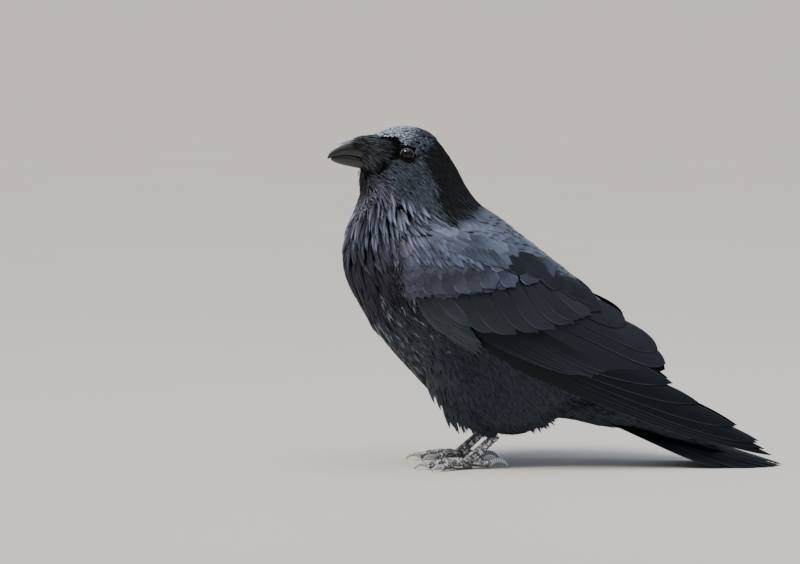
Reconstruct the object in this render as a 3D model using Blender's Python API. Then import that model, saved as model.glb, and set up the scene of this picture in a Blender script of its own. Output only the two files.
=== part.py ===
"""A raven, Corvus corax, standing on level ground: a life-size still model in separate closed solids.

Metres, +Z up. The bird faces -X, and its left side is towards -Y. The origin is the middle of the
model's box, on the ground. The solids have the outline of the plumage. Tables are in millimetres.
"""

import math

import bmesh
import bpy
import numpy as np

MM = 0.001
GAP = 0.3  # between neighbouring pieces
GROUND_SLAB = (1000.0, 1000.0, 30.0)  # trims what is under the ground level

# Head, neck and trunk are one form, skinned over sections that each stand across the bird.
# Each row: back x and z, breast x and z, half the width, squareness (2 is an ellipse).
BODY = [
    (-107, 345, -122, 311, 12, 2.0),  # forehead to chin
    (-97, 352, -120, 296, 18, 2.0),
    (-81, 356, -120, 281, 23, 2.1),  # front of the crown to the throat
    (-63, 355, -126, 266, 26, 2.1),  # eyes
    (-46, 348, -131, 253, 31, 2.1),
    (-31, 331, -135, 237, 36, 2.1),  # back of the head to the beard's middle
    (-19, 312, -136, 220, 41, 2.1),
    (-9, 293, -133, 201, 46, 2.1),  # nape to the upper breast
    (5, 275, -125, 183, 52, 2.1),
    (31, 255, -113, 162, 57, 2.2),  # shoulders
    (64, 229, -100, 139, 60, 2.2),
    (98, 202, -82, 117, 60, 2.2),  # middle of the back to the belly
    (127, 176, -60, 93, 57, 2.2),
    (148, 154, -35, 66, 51, 2.2),
    (161, 133, 5, 40, 43, 2.1),  # rump to the vent
    (170, 113, 46, 33, 36, 2.0),
    (179, 94, 84, 50, 30, 2.0),
    (189, 77, 130, 42, 26, 2.0),  # root of the tail
    (201, 62, 163, 37, 24, 2.0),
    (216, 50, 198, 28, 24, 2.0),
    (236, 38, 230, 21, 23, 2.0),  # end of the tail coverts
]
BODY_RING_POINTS = 24
HEAD_END = 4.6  # rows of the table where the form is parted
NECK_END = 8.3

HEAD_TURN = math.radians(12)  # towards the bird's left
TURN_AXIS_X = -70.0
TURN_FULL = 3.0  # rows of the table between which the neck twists
TURN_NONE = 8.0

EYE = (-75.5, 328.5)  # x and z of both eyes before the head turns
EYE_RADIUS = 8.0
EYE_SIDE = 18.6  # from the head's middle plane to the eyeball's centre

# Each row of a mandible: x, upper edge z, lower edge z, half the width.
UPPER_MANDIBLE = [
    (-156.5, 324.6, 323.4, 0.6),
    (-154.5, 330.6, 323.8, 2.0),
    (-148, 336.6, 325.4, 4.2),
    (-138, 341.6, 326.0, 6.4),
    (-127, 344.0, 324.2, 8.4),
    (-113, 345.2, 320.0, 10.4),
    (-100, 345.0, 315.0, 11.6),
    (-88, 342.0, 311.0, 11.8),
]
LOWER_MANDIBLE = [
    (-152.5, 324.6, 322.2, 0.8),
    (-148, 327.0, 319.4, 3.0),
    (-138, 328.0, 316.4, 5.2),
    (-127, 326.5, 314.0, 7.4),
    (-113, 322.3, 311.2, 9.4),
    (-100, 317.3, 307.4, 10.8),
    (-90, 313.8, 305.0, 11.2),
]
# Bristle feathers lying over the nostrils: x, top z, bottom z, half the width.
NASAL_TUFT = [
    (-130, 345.0, 340.0, 4.0),
    (-124, 346.6, 336.0, 8.8),
    (-114, 348.2, 331.0, 11.6),
    (-102, 348.6, 328.0, 13.4),
    (-92, 346.0, 327.0, 13.0),
]

# The folded wing's feathered arm, with the tertials as its tip. Each row: upper edge x, y, z,
# lower edge x, y, z, how far the outside bulges from the straight line between them, thickness.
# Y is the distance from the bird's middle plane.
WING_ARM = [
    (-75, 51, 231, -76, 54, 212, 3, 5),  # bend of the wing
    (-64, 52, 241, -69, 60, 193, 6, 8),
    (-41, 52, 248, -56, 65, 165, 9, 10),
    (-7, 49, 248, -32, 67, 142, 13, 11),
    (26, 43, 239, -5, 67, 127, 16, 12),
    (58, 34, 225, 26, 65, 115, 19, 12),
    (91, 23, 204, 58, 62, 102, 22, 10),
    (121, 13, 183, 94, 57, 87, 20, 8),
    (150, 7, 162, 131, 50, 78, 15, 6),
    (176, 6, 140, 163, 40, 86, 9, 4),
    (198, 9, 108, 190, 25, 96, 2, 1.4),  # tips of the tertials
]
# The folded primaries under the arm's feathers, out to the wing tip. Rows as above.
PRIMARIES = [
    (5, 52, 160, 3, 58, 129, 6, 4),
    (47, 51, 147, 39, 57, 113, 6, 5),
    (100, 44, 133, 86, 55, 94, 6, 5),
    (147, 34, 117, 131, 51, 77, 6, 5),
    (184, 26, 101, 173, 47, 61, 6, 4),
    (226, 22, 74, 226, 41, 40, 4, 3),
    (262, 20, 50, 262, 35, 27, 2.5, 2.4),
    (289, 20, 32, 290, 30, 18, 1.5, 1.6),
    (306, 22, 17, 308, 26, 12, 0.3, 1.0),  # wing tip
]
WING_EDGE = 0.8  # least thickness

# The folded tail is an arched plate of twelve overlapping feathers that widens from its root.
TAIL_ROOT = (117.6, 66.5)
TAIL_SLOPE = math.radians(17.6)
TAIL_ARCH = math.radians(50)  # from the ridge to each side edge
TAIL_ARC_ROOT = 15.0  # half the width along the arch, at the root and at the end
TAIL_ARC_END = 46.0
TAIL_THICK = (4.0, 1.0)  # at the ridge and at the side edges
RECTRIX_LENGTHS = (218, 216, 211, 203, 191, 155)  # from the middle pair out
RECTRIX_PLACES = (4, 11, 18, 25, 32, 39)  # of the tips' middles along the arch
RECTRIX_HALF_WIDTH = 12.0
TAIL_RINGS = 8
TAIL_COLUMNS = 27

# Legs. The left foot stands 8 mm further back than the right.
FEET = {"left": (-8.0, -35.0), "right": (-16.0, 34.0)}
FOOT_TURN = math.radians(8)  # outwards
BALL_HEIGHT = 8.0  # of the tarsus's lower end
BALL_RADIUS = 6.6
BALL_MIDDLE = 5.8  # height of the ball's centre, low enough for a flat under it
ANKLE_BEHIND = 49.0  # the ankle from the ball of the foot
ANKLE_HEIGHT = 53.0
TARSUS_HALF = (4.4, 3.3)  # fore-and-aft and sideways
# Feathered shank: x from the ankle's shadow line, z, half the length, half the width.
THIGH = [
    (-20, 118, 22, 14),
    (-19, 98, 30, 21),
    (-11, 74, 30, 21),
    (-1, 54, 22, 17),
    (9, 41, 13, 11),
    (17, 33, 6.5, 6),
]
THIGH_SIDE = 34.0
# Toes: name, direction from straight ahead (positive is inwards), length, thickness, claw length.
TOES = [
    ("inner", 32, 29, 4.2, 19),
    ("middle", 2, 42, 4.5, 19),
    ("outer", -26, 33, 4.1, 17),
    ("hind", 180, 24, 4.7, 27),
]
CLAW_CLEARANCE = 0.4  # of a claw's tip over the ground
CLAW_TIP_RADIUS = 0.35

COLOURS = {
    "plumage": ((0.012, 0.012, 0.016, 1.0), 0.5),
    "bill": ((0.015, 0.015, 0.017, 1.0), 0.35),
    "eye": ((0.012, 0.008, 0.006, 1.0), 0.05),
    "scales": ((0.045, 0.045, 0.05, 1.0), 0.45),
    "claw": ((0.02, 0.02, 0.023, 1.0), 0.3),
}


def material(name):
    """The Principled material of one finish, made the first time that it is asked for."""
    found = bpy.data.materials.get(name)
    if found:
        return found
    made = bpy.data.materials.new(name)
    made.use_nodes = True
    shader = made.node_tree.nodes["Principled BSDF"]
    shader.inputs["Base Color"].default_value = COLOURS[name][0]
    shader.inputs["Roughness"].default_value = COLOURS[name][1]
    shader.inputs["Metallic"].default_value = 0.0
    return made


def along(rows, place):
    """Values of a table at row numbers, fractions included, on a smooth curve through its rows."""
    rows = np.asarray(rows, float)
    last = len(rows) - 1
    place = np.clip(np.atleast_1d(np.asarray(place, float)), 0, last)
    start = np.minimum(place.astype(int), last - 1)
    f = (place - start)[:, None]
    before, here, there, after = (rows[np.clip(start + k, 0, last)] for k in (-1, 0, 1, 2))
    return (
        here
        + 0.5 * f * (there - before)
        + f**2 * (before - 2.5 * here + 2 * there - 0.5 * after)
        + f**3 * (1.5 * (here - there) + 0.5 * (after - before))
    )


def circle(count, square=2.0):
    """Cosine-like and sine-like values round a section, squarer than an ellipse above 2."""
    angle = np.linspace(0, 2 * math.pi, count, endpoint=False)
    power = 2 / square
    c, s = np.cos(angle), np.sin(angle)
    return np.sign(c) * np.abs(c) ** power, np.sign(s) * np.abs(s) ** power


def turn_head(points, place):
    """Turns points by the share of the head's turn that their row of the body table has."""
    share = np.clip((TURN_NONE - place) / (TURN_NONE - TURN_FULL), 0, 1)
    angle = HEAD_TURN * share * share * (3 - 2 * share)
    x, y = points[..., 0] - TURN_AXIS_X, points[..., 1]
    turned = points.copy()
    turned[..., 0] = TURN_AXIS_X + x * np.cos(angle) - y * np.sin(angle)
    turned[..., 1] = x * np.sin(angle) + y * np.cos(angle)
    return turned


def solid_from_rings(name, rings, finish):
    """A closed solid skinned over rings of points in millimetres, each end closed by a strip.

    Its bent four-sided faces are split the same way every time, so a larger copy stays outside it.
    """
    rings = np.asarray(rings) * MM
    around = rings.shape[1]
    mesh = bmesh.new()
    points = [[mesh.verts.new(p) for p in ring] for ring in rings]
    for ring, nxt in zip(points[:-1], points[1:]):
        for i in range(around):
            j = (i + 1) % around
            mesh.faces.new((ring[i], ring[j], nxt[j], nxt[i]))
    for ring in (points[0], points[-1]):
        for i in range(around // 2 - 1):
            mesh.faces.new((ring[i], ring[i + 1], ring[-2 - i], ring[-1 - i]))
    bmesh.ops.triangulate(mesh, faces=mesh.faces, quad_method="FIXED")
    bmesh.ops.recalc_face_normals(mesh, faces=mesh.faces)
    data = bpy.data.meshes.new(name)
    mesh.to_mesh(data)
    mesh.free()
    data.materials.append(material(finish))
    made = bpy.data.objects.new(name, data)
    bpy.context.scene.collection.objects.link(made)
    return made


def keep_largest(target):
    """Drops the crumbs that a cut leaves, keeping the island with the most faces."""
    mesh = bmesh.new()
    mesh.from_mesh(target.data)
    unseen = set(mesh.verts)
    islands = []
    while unseen:
        todo = [unseen.pop()]
        island = list(todo)
        while todo:
            for edge in todo.pop().link_edges:
                for vert in edge.verts:
                    if vert in unseen:
                        unseen.remove(vert)
                        todo.append(vert)
                        island.append(vert)
        islands.append(island)
    islands.sort(key=len)
    crumbs = [vert for island in islands[:-1] for vert in island]
    bmesh.ops.delete(mesh, geom=crumbs, context="VERTS")
    mesh.to_mesh(target.data)
    mesh.free()


def combine(target, other, operation, keep_other=False):
    """Joins other to target, or cuts it away, and takes other out of the scene."""
    modifier = target.modifiers.new(operation, "BOOLEAN")
    modifier.operation = operation
    modifier.object = other
    graph = bpy.context.evaluated_depsgraph_get()
    made = bpy.data.meshes.new_from_object(target.evaluated_get(graph))
    target.modifiers.clear()
    target.data = made
    if operation == "DIFFERENCE":
        keep_largest(target)
    if not keep_other:
        bpy.data.objects.remove(other)


def trim_at_ground(target):
    """Cuts off what lies under the ground level, which leaves flats to stand on."""
    bpy.ops.mesh.primitive_cube_add(size=1, location=(0, 0, -GROUND_SLAB[2] / 2 * MM))
    slab = bpy.context.object
    slab.scale = [size * MM for size in GROUND_SLAB]
    bpy.context.view_layer.update()
    combine(target, slab, "DIFFERENCE")


# ---------------------------------------------------------------- head, neck and trunk


def body_rings(start, end, grow=0.0):
    """Sections of the body between two places in its table, larger by grow all round."""
    last = len(BODY) - 1
    step = 0.5 * GAP / 17  # half a gap: the rows of the table lie about 17 mm apart
    partings = [end_row + s * step for end_row in (HEAD_END, NECK_END) for s in (-1, 1)]
    place = np.sort(np.concatenate([np.arange(last + 1), [1.5, 2.5, 3.5], partings]))
    place = place[(place >= start) & (place <= end)]
    rows = along(BODY, place)
    rings = []
    for at, (back_x, back_z, breast_x, breast_z, half_width, square) in zip(place, rows):
        c, s = circle(BODY_RING_POINTS, square)
        across = np.array([back_x - breast_x, back_z - breast_z])
        half_height = np.linalg.norm(across) / 2
        unit = across / (2 * half_height)
        reach = c * (half_height + grow)
        ring = np.stack(
            [
                (back_x + breast_x) / 2 + unit[0] * reach,
                s * (half_width + grow),
                (back_z + breast_z) / 2 + unit[1] * reach,
            ],
            axis=1,
        )
        rings.append(turn_head(ring, at))
    return rings


def parted_body():
    """Head, neck and trunk, with a thin gap at each parting. The head is handed back."""
    solid_from_rings("trunk", body_rings(NECK_END, len(BODY) - 1), "plumage")
    solid_from_rings("neck", body_rings(HEAD_END, NECK_END), "plumage")
    return solid_from_rings("head", body_rings(0, HEAD_END), "plumage")


def body_cutter():
    """The whole body made larger by the gap, to cut what lies against it."""
    return solid_from_rings("body_cutter", body_rings(0, len(BODY) - 1, GAP), "plumage")


# ---------------------------------------------------------------- face


def eyeball(side, grow=0.0):
    """One eye, or the socket's cutter where grow is above 0. Side is -1 for the left eye."""
    centre = turn_head(np.array([EYE[0], side * EYE_SIDE, EYE[1]]), 0.0)
    bpy.ops.mesh.primitive_uv_sphere_add(
        segments=16, ring_count=9, radius=(EYE_RADIUS + grow) * MM, location=centre * MM
    )
    ball = bpy.context.object
    ball.name = "eye_left" if side < 0 else "eye_right"
    ball.rotation_euler = (math.pi / 2, 0, 0)
    ball.data.materials.append(material("eye"))
    return ball


def mandible_rings(rows, rounder_top, grow=0.0):
    """Sections of a mandible or of the bristles over it: a ridge on one side and flat on the other."""
    angle_count = 12
    rings = []
    for x, top, bottom, half_width in np.asarray(rows, float):
        c, s = circle(angle_count, 2.3)
        middle, half = (top + bottom) / 2, (top - bottom) / 2 + grow
        # the ridge side narrows towards its edge, the other side stays wide
        height = c * half
        toward_ridge = (c if rounder_top else -c) * 0.5 + 0.5
        width = s * (half_width + grow) * (1 - 0.28 * toward_ridge)
        ring = np.stack([np.full(angle_count, x), width, middle + height], axis=1)
        rings.append(turn_head(ring, 0.0))
    if grow:
        rings[0][:, 0] -= grow
    return rings


def face(head):
    """Eyes, bill and nasal bristles, each fitted into the head."""
    for side in (-1, 1):
        eyeball(side)
        combine(head, eyeball(side, GAP), "DIFFERENCE")
    solid_from_rings("bill_upper", mandible_rings(UPPER_MANDIBLE, True), "bill")
    lower = solid_from_rings("bill_lower", mandible_rings(LOWER_MANDIBLE, False), "bill")
    tuft = solid_from_rings("nasal_bristles", mandible_rings(NASAL_TUFT, True), "plumage")
    upper_cutter = solid_from_rings("cutter", mandible_rings(UPPER_MANDIBLE, True, GAP), "bill")
    combine(lower, upper_cutter, "DIFFERENCE", keep_other=True)
    combine(tuft, upper_cutter, "DIFFERENCE", keep_other=True)
    combine(head, upper_cutter, "DIFFERENCE")
    lower_cutter = solid_from_rings("cutter", mandible_rings(LOWER_MANDIBLE, False, GAP), "bill")
    combine(head, lower_cutter, "DIFFERENCE")
    for side in (-1, 1):
        combine(tuft, eyeball(side, GAP), "DIFFERENCE")
    combine(tuft, body_cutter(), "DIFFERENCE")


# ---------------------------------------------------------------- wings


def wing_rings(rows):
    """Thin sections of a folded left wing: an outer curve that bulges, and an inner one under it."""
    t = np.linspace(0, 1, 8)
    rings = []
    for row in np.asarray(rows, float):
        upper = np.array([row[0], -row[1], row[2]])
        lower = np.array([row[3], -row[4], row[5]])
        bulge, thick = row[6:8]
        chord = lower - upper
        outward = np.cross(chord, (1.0, 0.0, 0.0))
        outward /= np.linalg.norm(outward)
        if outward[1] > 0:
            outward = -outward
        outside = upper + chord * t[:, None] + outward * (bulge * np.sin(math.pi * t) ** 0.8)[:, None]
        depth = WING_EDGE + (thick - WING_EDGE) * np.sin(math.pi * t) ** 0.6
        inside = outside - outward * np.maximum(depth, WING_EDGE)[:, None]
        rings.append(np.concatenate([outside, inside[::-1]]))
    return rings


def wings(tail_cutter):
    """Both folded wings, mirror images, lying against the body and over the tail."""
    left = solid_from_rings("wing_left", wing_rings(WING_ARM), "plumage")
    combine(left, solid_from_rings("primaries", wing_rings(PRIMARIES), "plumage"), "UNION")
    combine(left, body_cutter(), "DIFFERENCE")
    combine(left, solid_from_rings("cutter", thigh_rings("left", GAP), "plumage"), "DIFFERENCE")
    combine(left, tail_cutter, "DIFFERENCE")
    right_data = left.data.copy()
    right_data.transform(((1, 0, 0, 0), (0, -1, 0, 0), (0, 0, 1, 0), (0, 0, 0, 1)))
    right_data.flip_normals()
    right = bpy.data.objects.new("wing_right", right_data)
    bpy.context.scene.collection.objects.link(right)


# ---------------------------------------------------------------- tail


def feather_ends(arc):
    """How far the tail reaches at a place along its arch: the furthest of the rounded tips there."""
    reach = np.full(arc.shape, float(RECTRIX_LENGTHS[-1]) - 8)
    for length, place in zip(RECTRIX_LENGTHS, RECTRIX_PLACES):
        off = np.abs(arc - place) / RECTRIX_HALF_WIDTH
        tip = length - 16 * (1 - np.sqrt(np.clip(1 - off**2, 0, 1)))
        reach = np.where(off < 1, np.maximum(reach, tip), reach)
    return reach


def tail_rings(grow=0.0):
    """Sections of the tail from its root to the feathers' tips, upper side out and lower side back."""
    v = np.linspace(-1, 1, TAIL_COLUMNS)
    reach = feather_ends(np.abs(v) * TAIL_ARC_END) + grow
    rings = []
    for u in np.linspace(0, 1, TAIL_RINGS):
        run = reach * u
        share = (run / RECTRIX_LENGTHS[0]) ** 0.7
        radius = (TAIL_ARC_ROOT + (TAIL_ARC_END - TAIL_ARC_ROOT) * share) / TAIL_ARCH
        radius_top = radius + grow
        angle = v * (TAIL_ARCH + grow / radius)
        thin = np.abs(v) ** 1.5
        thick = TAIL_THICK[0] + (TAIL_THICK[1] - TAIL_THICK[0]) * np.maximum(thin, share**3)
        for_side = []
        for r in (radius_top, radius - thick - grow):
            side = r * np.sin(angle)
            sink = radius - r * np.cos(angle)
            x = TAIL_ROOT[0] + run * math.cos(TAIL_SLOPE) - sink * math.sin(TAIL_SLOPE)
            z = TAIL_ROOT[1] - run * math.sin(TAIL_SLOPE) - sink * math.cos(TAIL_SLOPE)
            for_side.append(np.stack([x, side, z], axis=1))
        rings.append(np.concatenate([for_side[0], for_side[1][::-1]]))
    return rings


def tail():
    """The tail, fitted round the body's end and laid on the ground, and a larger one for cutting."""
    made = solid_from_rings("tail", tail_rings(), "plumage")
    combine(made, body_cutter(), "DIFFERENCE")
    trim_at_ground(made)
    return solid_from_rings("tail_cutter", tail_rings(2 * GAP), "plumage")


# ---------------------------------------------------------------- legs


def tube_rings(path, radii_x, radii_y, around=8):
    """Rings along a path that stays in a vertical plane, each across the path there."""
    path = np.asarray(path, float)
    tangent = np.gradient(path, axis=0)
    tangent /= np.linalg.norm(tangent, axis=1)[:, None]
    run = path[-1] - path[0]
    side = np.array([-run[1], run[0], 0.0])
    side /= np.linalg.norm(side)
    c, s = circle(around)
    rings = []
    for middle, ahead, rx, ry in zip(path, tangent, radii_x, radii_y):
        rise = np.cross(ahead, side)
        rings.append(middle + np.outer(c * rx, rise) + np.outer(s * ry, side))
    return rings


def thigh_rings(side, grow=0.0):
    """The feathered shank, level sections that narrow to the bare leg."""
    foot_x, foot_y = FEET[side]
    away = math.copysign(THIGH_SIDE, foot_y)
    low, high = THIGH[-1][1], THIGH[0][1]
    rings = []
    for x, z, half_length, half_width in along(THIGH, np.linspace(0, len(THIGH) - 1, 9)):
        c, s = circle(14)
        shift = (foot_x - FEET["left"][0]) * (high - z) / (high - low)
        ring = np.stack([x + shift + c * (half_length + grow), away + s * (half_width + grow),
                         np.full(14, z)], axis=1)
        rings.append(ring)
    rings[-1][:, 2] -= grow
    return rings


def tarsus_rings(side, grow=0.0):
    """The bare leg from inside the shank's feathers to the ball of the foot."""
    x, y = FEET[side]
    u = np.linspace(0, 1, 7)
    path = np.stack([x + ANKLE_BEHIND * u, np.full(7, y) - 0.04 * y * u,
                     BALL_HEIGHT + (ANKLE_HEIGHT - BALL_HEIGHT) * u], axis=1)
    swell = 1 + 0.25 * (1 - u) ** 4 + 0.35 * u**6
    return tube_rings(path, TARSUS_HALF[0] * swell + grow, TARSUS_HALF[1] * swell + grow)


def toe_direction(side, angle):
    """Level unit vector of a toe: 0 degrees is straight ahead, turned out by the foot's turn."""
    inward = 1 if side == "left" else -1
    turn = math.radians(angle) - FOOT_TURN
    return np.array([-math.cos(turn), inward * math.sin(turn), 0.0])


def toe_pads(toe):
    """How many pads a toe has: one for every 12 mm."""
    return max(2, round(toe[2] / 12))


def toe_path(side, toe):
    """Middle line of a toe from the ball of the foot: it arches, then comes down on its last pad."""
    _, angle, length, thick, _ = toe
    u = np.linspace(0, 1, 3 * toe_pads(toe) + 1)
    x, y = FEET[side]
    start = BALL_HEIGHT - 1.5
    height = start + (thick * 0.86 - start) * u + 2.6 * np.sin(math.pi * u) * (length / 42)
    return np.array([x, y, 0.0]) + np.outer(length * u, toe_direction(side, angle)) + np.outer(
        height, (0, 0, 1))


def toe_rings(side, toe, grow=0.0):
    """A toe with a swelling at each pad."""
    _, angle, length, thick, _ = toe
    path = toe_path(side, toe)
    u = np.linspace(0, 1, len(path))
    radius = thick * (1.05 - 0.18 * u) * (1 + 0.09 * np.cos(2 * math.pi * toe_pads(toe) * u))
    radius[-1] *= 0.55
    return tube_rings(path, radius + grow, radius * 0.95 + grow)


def claw_rings(side, toe):
    """A claw: a cone that curves over and down to just above the ground."""
    name, angle, _, thick, length = toe
    start = toe_path(side, toe)[-1] - 2.0 * toe_direction(side, angle)
    u = np.linspace(0, 1, 7)
    first, last = (42, -82) if name == "hind" else (30, -62)
    bend = np.radians(first + (last - first) * (u[1:] + u[:-1]) / 2)
    run = length * np.concatenate([[0], np.cumsum(np.cos(bend))]) / len(bend)
    rise = length * np.concatenate([[0], np.cumsum(np.sin(bend))]) / len(bend)
    rise += (CLAW_CLEARANCE + CLAW_TIP_RADIUS - start[2] - rise[-1]) * u
    path = start + np.outer(run, toe_direction(side, angle)) + np.outer(rise, (0, 0, 1))
    radius = thick * 0.66 * (1 - u) ** 0.75 + CLAW_TIP_RADIUS
    return tube_rings(path, radius, radius * 0.72, around=6)


def leg(side):
    """Shank, tarsus, foot and four claws of one leg."""
    shank = solid_from_rings(f"thigh_{side}", thigh_rings(side), "plumage")
    combine(shank, body_cutter(), "DIFFERENCE")
    x, y = FEET[side]
    bpy.ops.mesh.primitive_uv_sphere_add(
        segments=12, ring_count=7, radius=BALL_RADIUS * MM, location=(x * MM, y * MM, BALL_MIDDLE * MM)
    )
    foot = bpy.context.object
    foot.name = f"foot_{side}"
    foot.data.materials.append(material("scales"))
    for toe in TOES:
        combine(foot, solid_from_rings("toe", toe_rings(side, toe), "scales"), "UNION")
    for toe in TOES:
        claw = solid_from_rings(f"claw_{toe[0]}_{side}", claw_rings(side, toe), "claw")
        cutter = solid_from_rings("cutter", toe_rings(side, toe, GAP), "claw")
        combine(claw, cutter, "DIFFERENCE")
    trim_at_ground(foot)
    tarsus = solid_from_rings(f"tarsus_{side}", tarsus_rings(side), "scales")
    cutter = bpy.data.objects.new("cutter", foot.data.copy())
    cutter.location = foot.location
    bpy.context.scene.collection.objects.link(cutter)
    grow_mesh(cutter.data, GAP)
    combine(tarsus, cutter, "DIFFERENCE")
    combine(tarsus, solid_from_rings("cutter", thigh_rings(side, GAP), "plumage"), "DIFFERENCE")
    combine(tarsus, body_cutter(), "DIFFERENCE")


def grow_mesh(data, distance):
    """Moves a mesh's points out along their normals."""
    normals = np.array([v.normal for v in data.vertices])
    points = np.array([v.co for v in data.vertices]) + normals * distance * MM
    data.vertices.foreach_set("co", points.ravel())


# ---------------------------------------------------------------- the whole bird


def centre_on_ground(objects):
    """Moves everything so that the origin is the middle of the model's box, at the ground."""
    points = np.concatenate(
        [[tuple(o.matrix_world @ v.co) for v in o.data.vertices] for o in objects]
    )
    low, high = points.min(axis=0), points.max(axis=0)
    for o in objects:
        o.location.x -= (low[0] + high[0]) / 2
        o.location.y -= (low[1] + high[1]) / 2
        o.location.z -= low[2]


def main():
    for old in list(bpy.data.objects):
        bpy.data.objects.remove(old)
    face(parted_body())
    tail_cutter = tail()
    wings(tail_cutter)
    for side in FEET:
        leg(side)
    raven = bpy.data.collections.new("raven")
    bpy.context.scene.collection.children.link(raven)
    bpy.context.view_layer.update()
    pieces = [o for o in bpy.data.objects if o.type == "MESH"]
    centre_on_ground(pieces)
    for piece in pieces:
        for holder in list(piece.users_collection):
            holder.objects.unlink(piece)
        raven.objects.link(piece)
        piece.data.shade_smooth()
        piece.data.set_sharp_from_angle(angle=math.radians(40))


main()
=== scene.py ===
"""Looks of the raven: skin, feathers, bill, eyes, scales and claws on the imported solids.

Lengths are in millimetres until a mesh is made. The bird faces -x, its left side is towards -y, and
the ground is z = 0. Feathers are thin closed vanes laid along curved surfaces, in joined meshes.
"""

import functools
import math

import bpy
import numpy as np
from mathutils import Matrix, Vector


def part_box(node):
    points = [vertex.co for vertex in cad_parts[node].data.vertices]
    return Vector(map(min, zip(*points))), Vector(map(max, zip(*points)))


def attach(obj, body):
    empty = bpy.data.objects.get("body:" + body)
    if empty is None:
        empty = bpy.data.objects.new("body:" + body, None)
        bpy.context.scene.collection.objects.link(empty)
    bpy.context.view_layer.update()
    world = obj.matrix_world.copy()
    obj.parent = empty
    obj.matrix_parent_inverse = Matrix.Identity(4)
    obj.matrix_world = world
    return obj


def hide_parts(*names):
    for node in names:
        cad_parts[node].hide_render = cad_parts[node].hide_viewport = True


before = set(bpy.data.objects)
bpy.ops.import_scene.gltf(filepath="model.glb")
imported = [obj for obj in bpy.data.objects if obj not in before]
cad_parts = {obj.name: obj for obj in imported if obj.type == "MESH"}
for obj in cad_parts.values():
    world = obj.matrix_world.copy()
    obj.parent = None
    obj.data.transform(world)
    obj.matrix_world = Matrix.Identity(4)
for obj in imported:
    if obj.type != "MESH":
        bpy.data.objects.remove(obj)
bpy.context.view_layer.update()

MM = 0.001
WHOLE_TURN = 2 * math.pi
LEFT, RIGHT = -1, 1  # the sign of y on each side
SIDES = ((LEFT, "left"), (RIGHT, "right"))

# ---------------------------------------------------------------- measures of the bird

# Head, neck and trunk: back x and z, breast x and z, half the width, squareness of the section.
BODY = [
    (-107, 345, -122, 311, 12, 2.0),  # forehead to chin
    (-97, 352, -120, 296, 18, 2.0),
    (-81, 356, -120, 281, 23, 2.1),
    (-63, 355, -126, 266, 26, 2.1),  # eyes
    (-46, 348, -131, 253, 31, 2.1),
    (-31, 331, -135, 237, 36, 2.1),  # back of the head to the beard
    (-19, 312, -136, 220, 41, 2.1),
    (-9, 293, -133, 201, 46, 2.1),
    (5, 275, -125, 183, 52, 2.1),
    (31, 255, -113, 162, 57, 2.2),  # shoulders
    (64, 229, -100, 139, 60, 2.2),
    (98, 202, -82, 117, 60, 2.2),
    (127, 176, -60, 93, 57, 2.2),
    (148, 154, -35, 66, 51, 2.2),
    (161, 133, 5, 40, 43, 2.1),  # rump to the vent
    (170, 113, 46, 33, 36, 2.0),
    (179, 94, 84, 50, 30, 2.0),
    (189, 77, 130, 42, 26, 2.0),
    (201, 62, 163, 37, 24, 2.0),
    (216, 50, 198, 28, 24, 2.0),
    (236, 38, 230, 21, 23, 2.0),  # end of the tail coverts
]
HEAD_TURN = math.radians(12)
TURN_AXIS_X = -70.0
TURN_FULL, TURN_NONE = 3.0, 8.0  # rows of BODY between which the neck twists
EYE = (-75.5, 328.5)  # before the head turns
EYE_SIDE = 18.6
# Mandibles and the bristle feathers over the nostrils: x, upper edge z, lower edge z, half the width.
UPPER_MANDIBLE = [
    (-156.5, 324.6, 323.4, 0.6),
    (-154.5, 330.6, 323.8, 2.0),
    (-148, 336.6, 325.4, 4.2),
    (-138, 341.6, 326.0, 6.4),
    (-127, 344.0, 324.2, 8.4),
    (-113, 345.2, 320.0, 10.4),
    (-100, 345.0, 315.0, 11.6),
    (-88, 342.0, 311.0, 11.8),
]
LOWER_MANDIBLE = [
    (-152.5, 324.6, 322.2, 0.8),
    (-148, 327.0, 319.4, 3.0),
    (-138, 328.0, 316.4, 5.2),
    (-127, 326.5, 314.0, 7.4),
    (-113, 322.3, 311.2, 9.4),
    (-100, 317.3, 307.4, 10.8),
    (-90, 313.8, 305.0, 11.2),
]
NASAL_TUFT = [
    (-130, 345.0, 340.0, 4.0),
    (-124, 346.6, 336.0, 8.8),
    (-114, 348.2, 331.0, 11.6),
    (-102, 348.6, 328.0, 13.4),
    (-92, 346.0, 327.0, 13.0),
]
# The surface that the bristles along the gape start from, wider than the mandibles: the same four values.
BRISTLE_FIELD = [
    (-132, 342.5, 331.0, 8.2),
    (-122, 344.5, 329.0, 10.6),
    (-112, 346.0, 320.0, 15.0),
    (-102, 348.0, 310.0, 21.5),
    (-93, 349.0, 304.0, 25.0),
]
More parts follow.
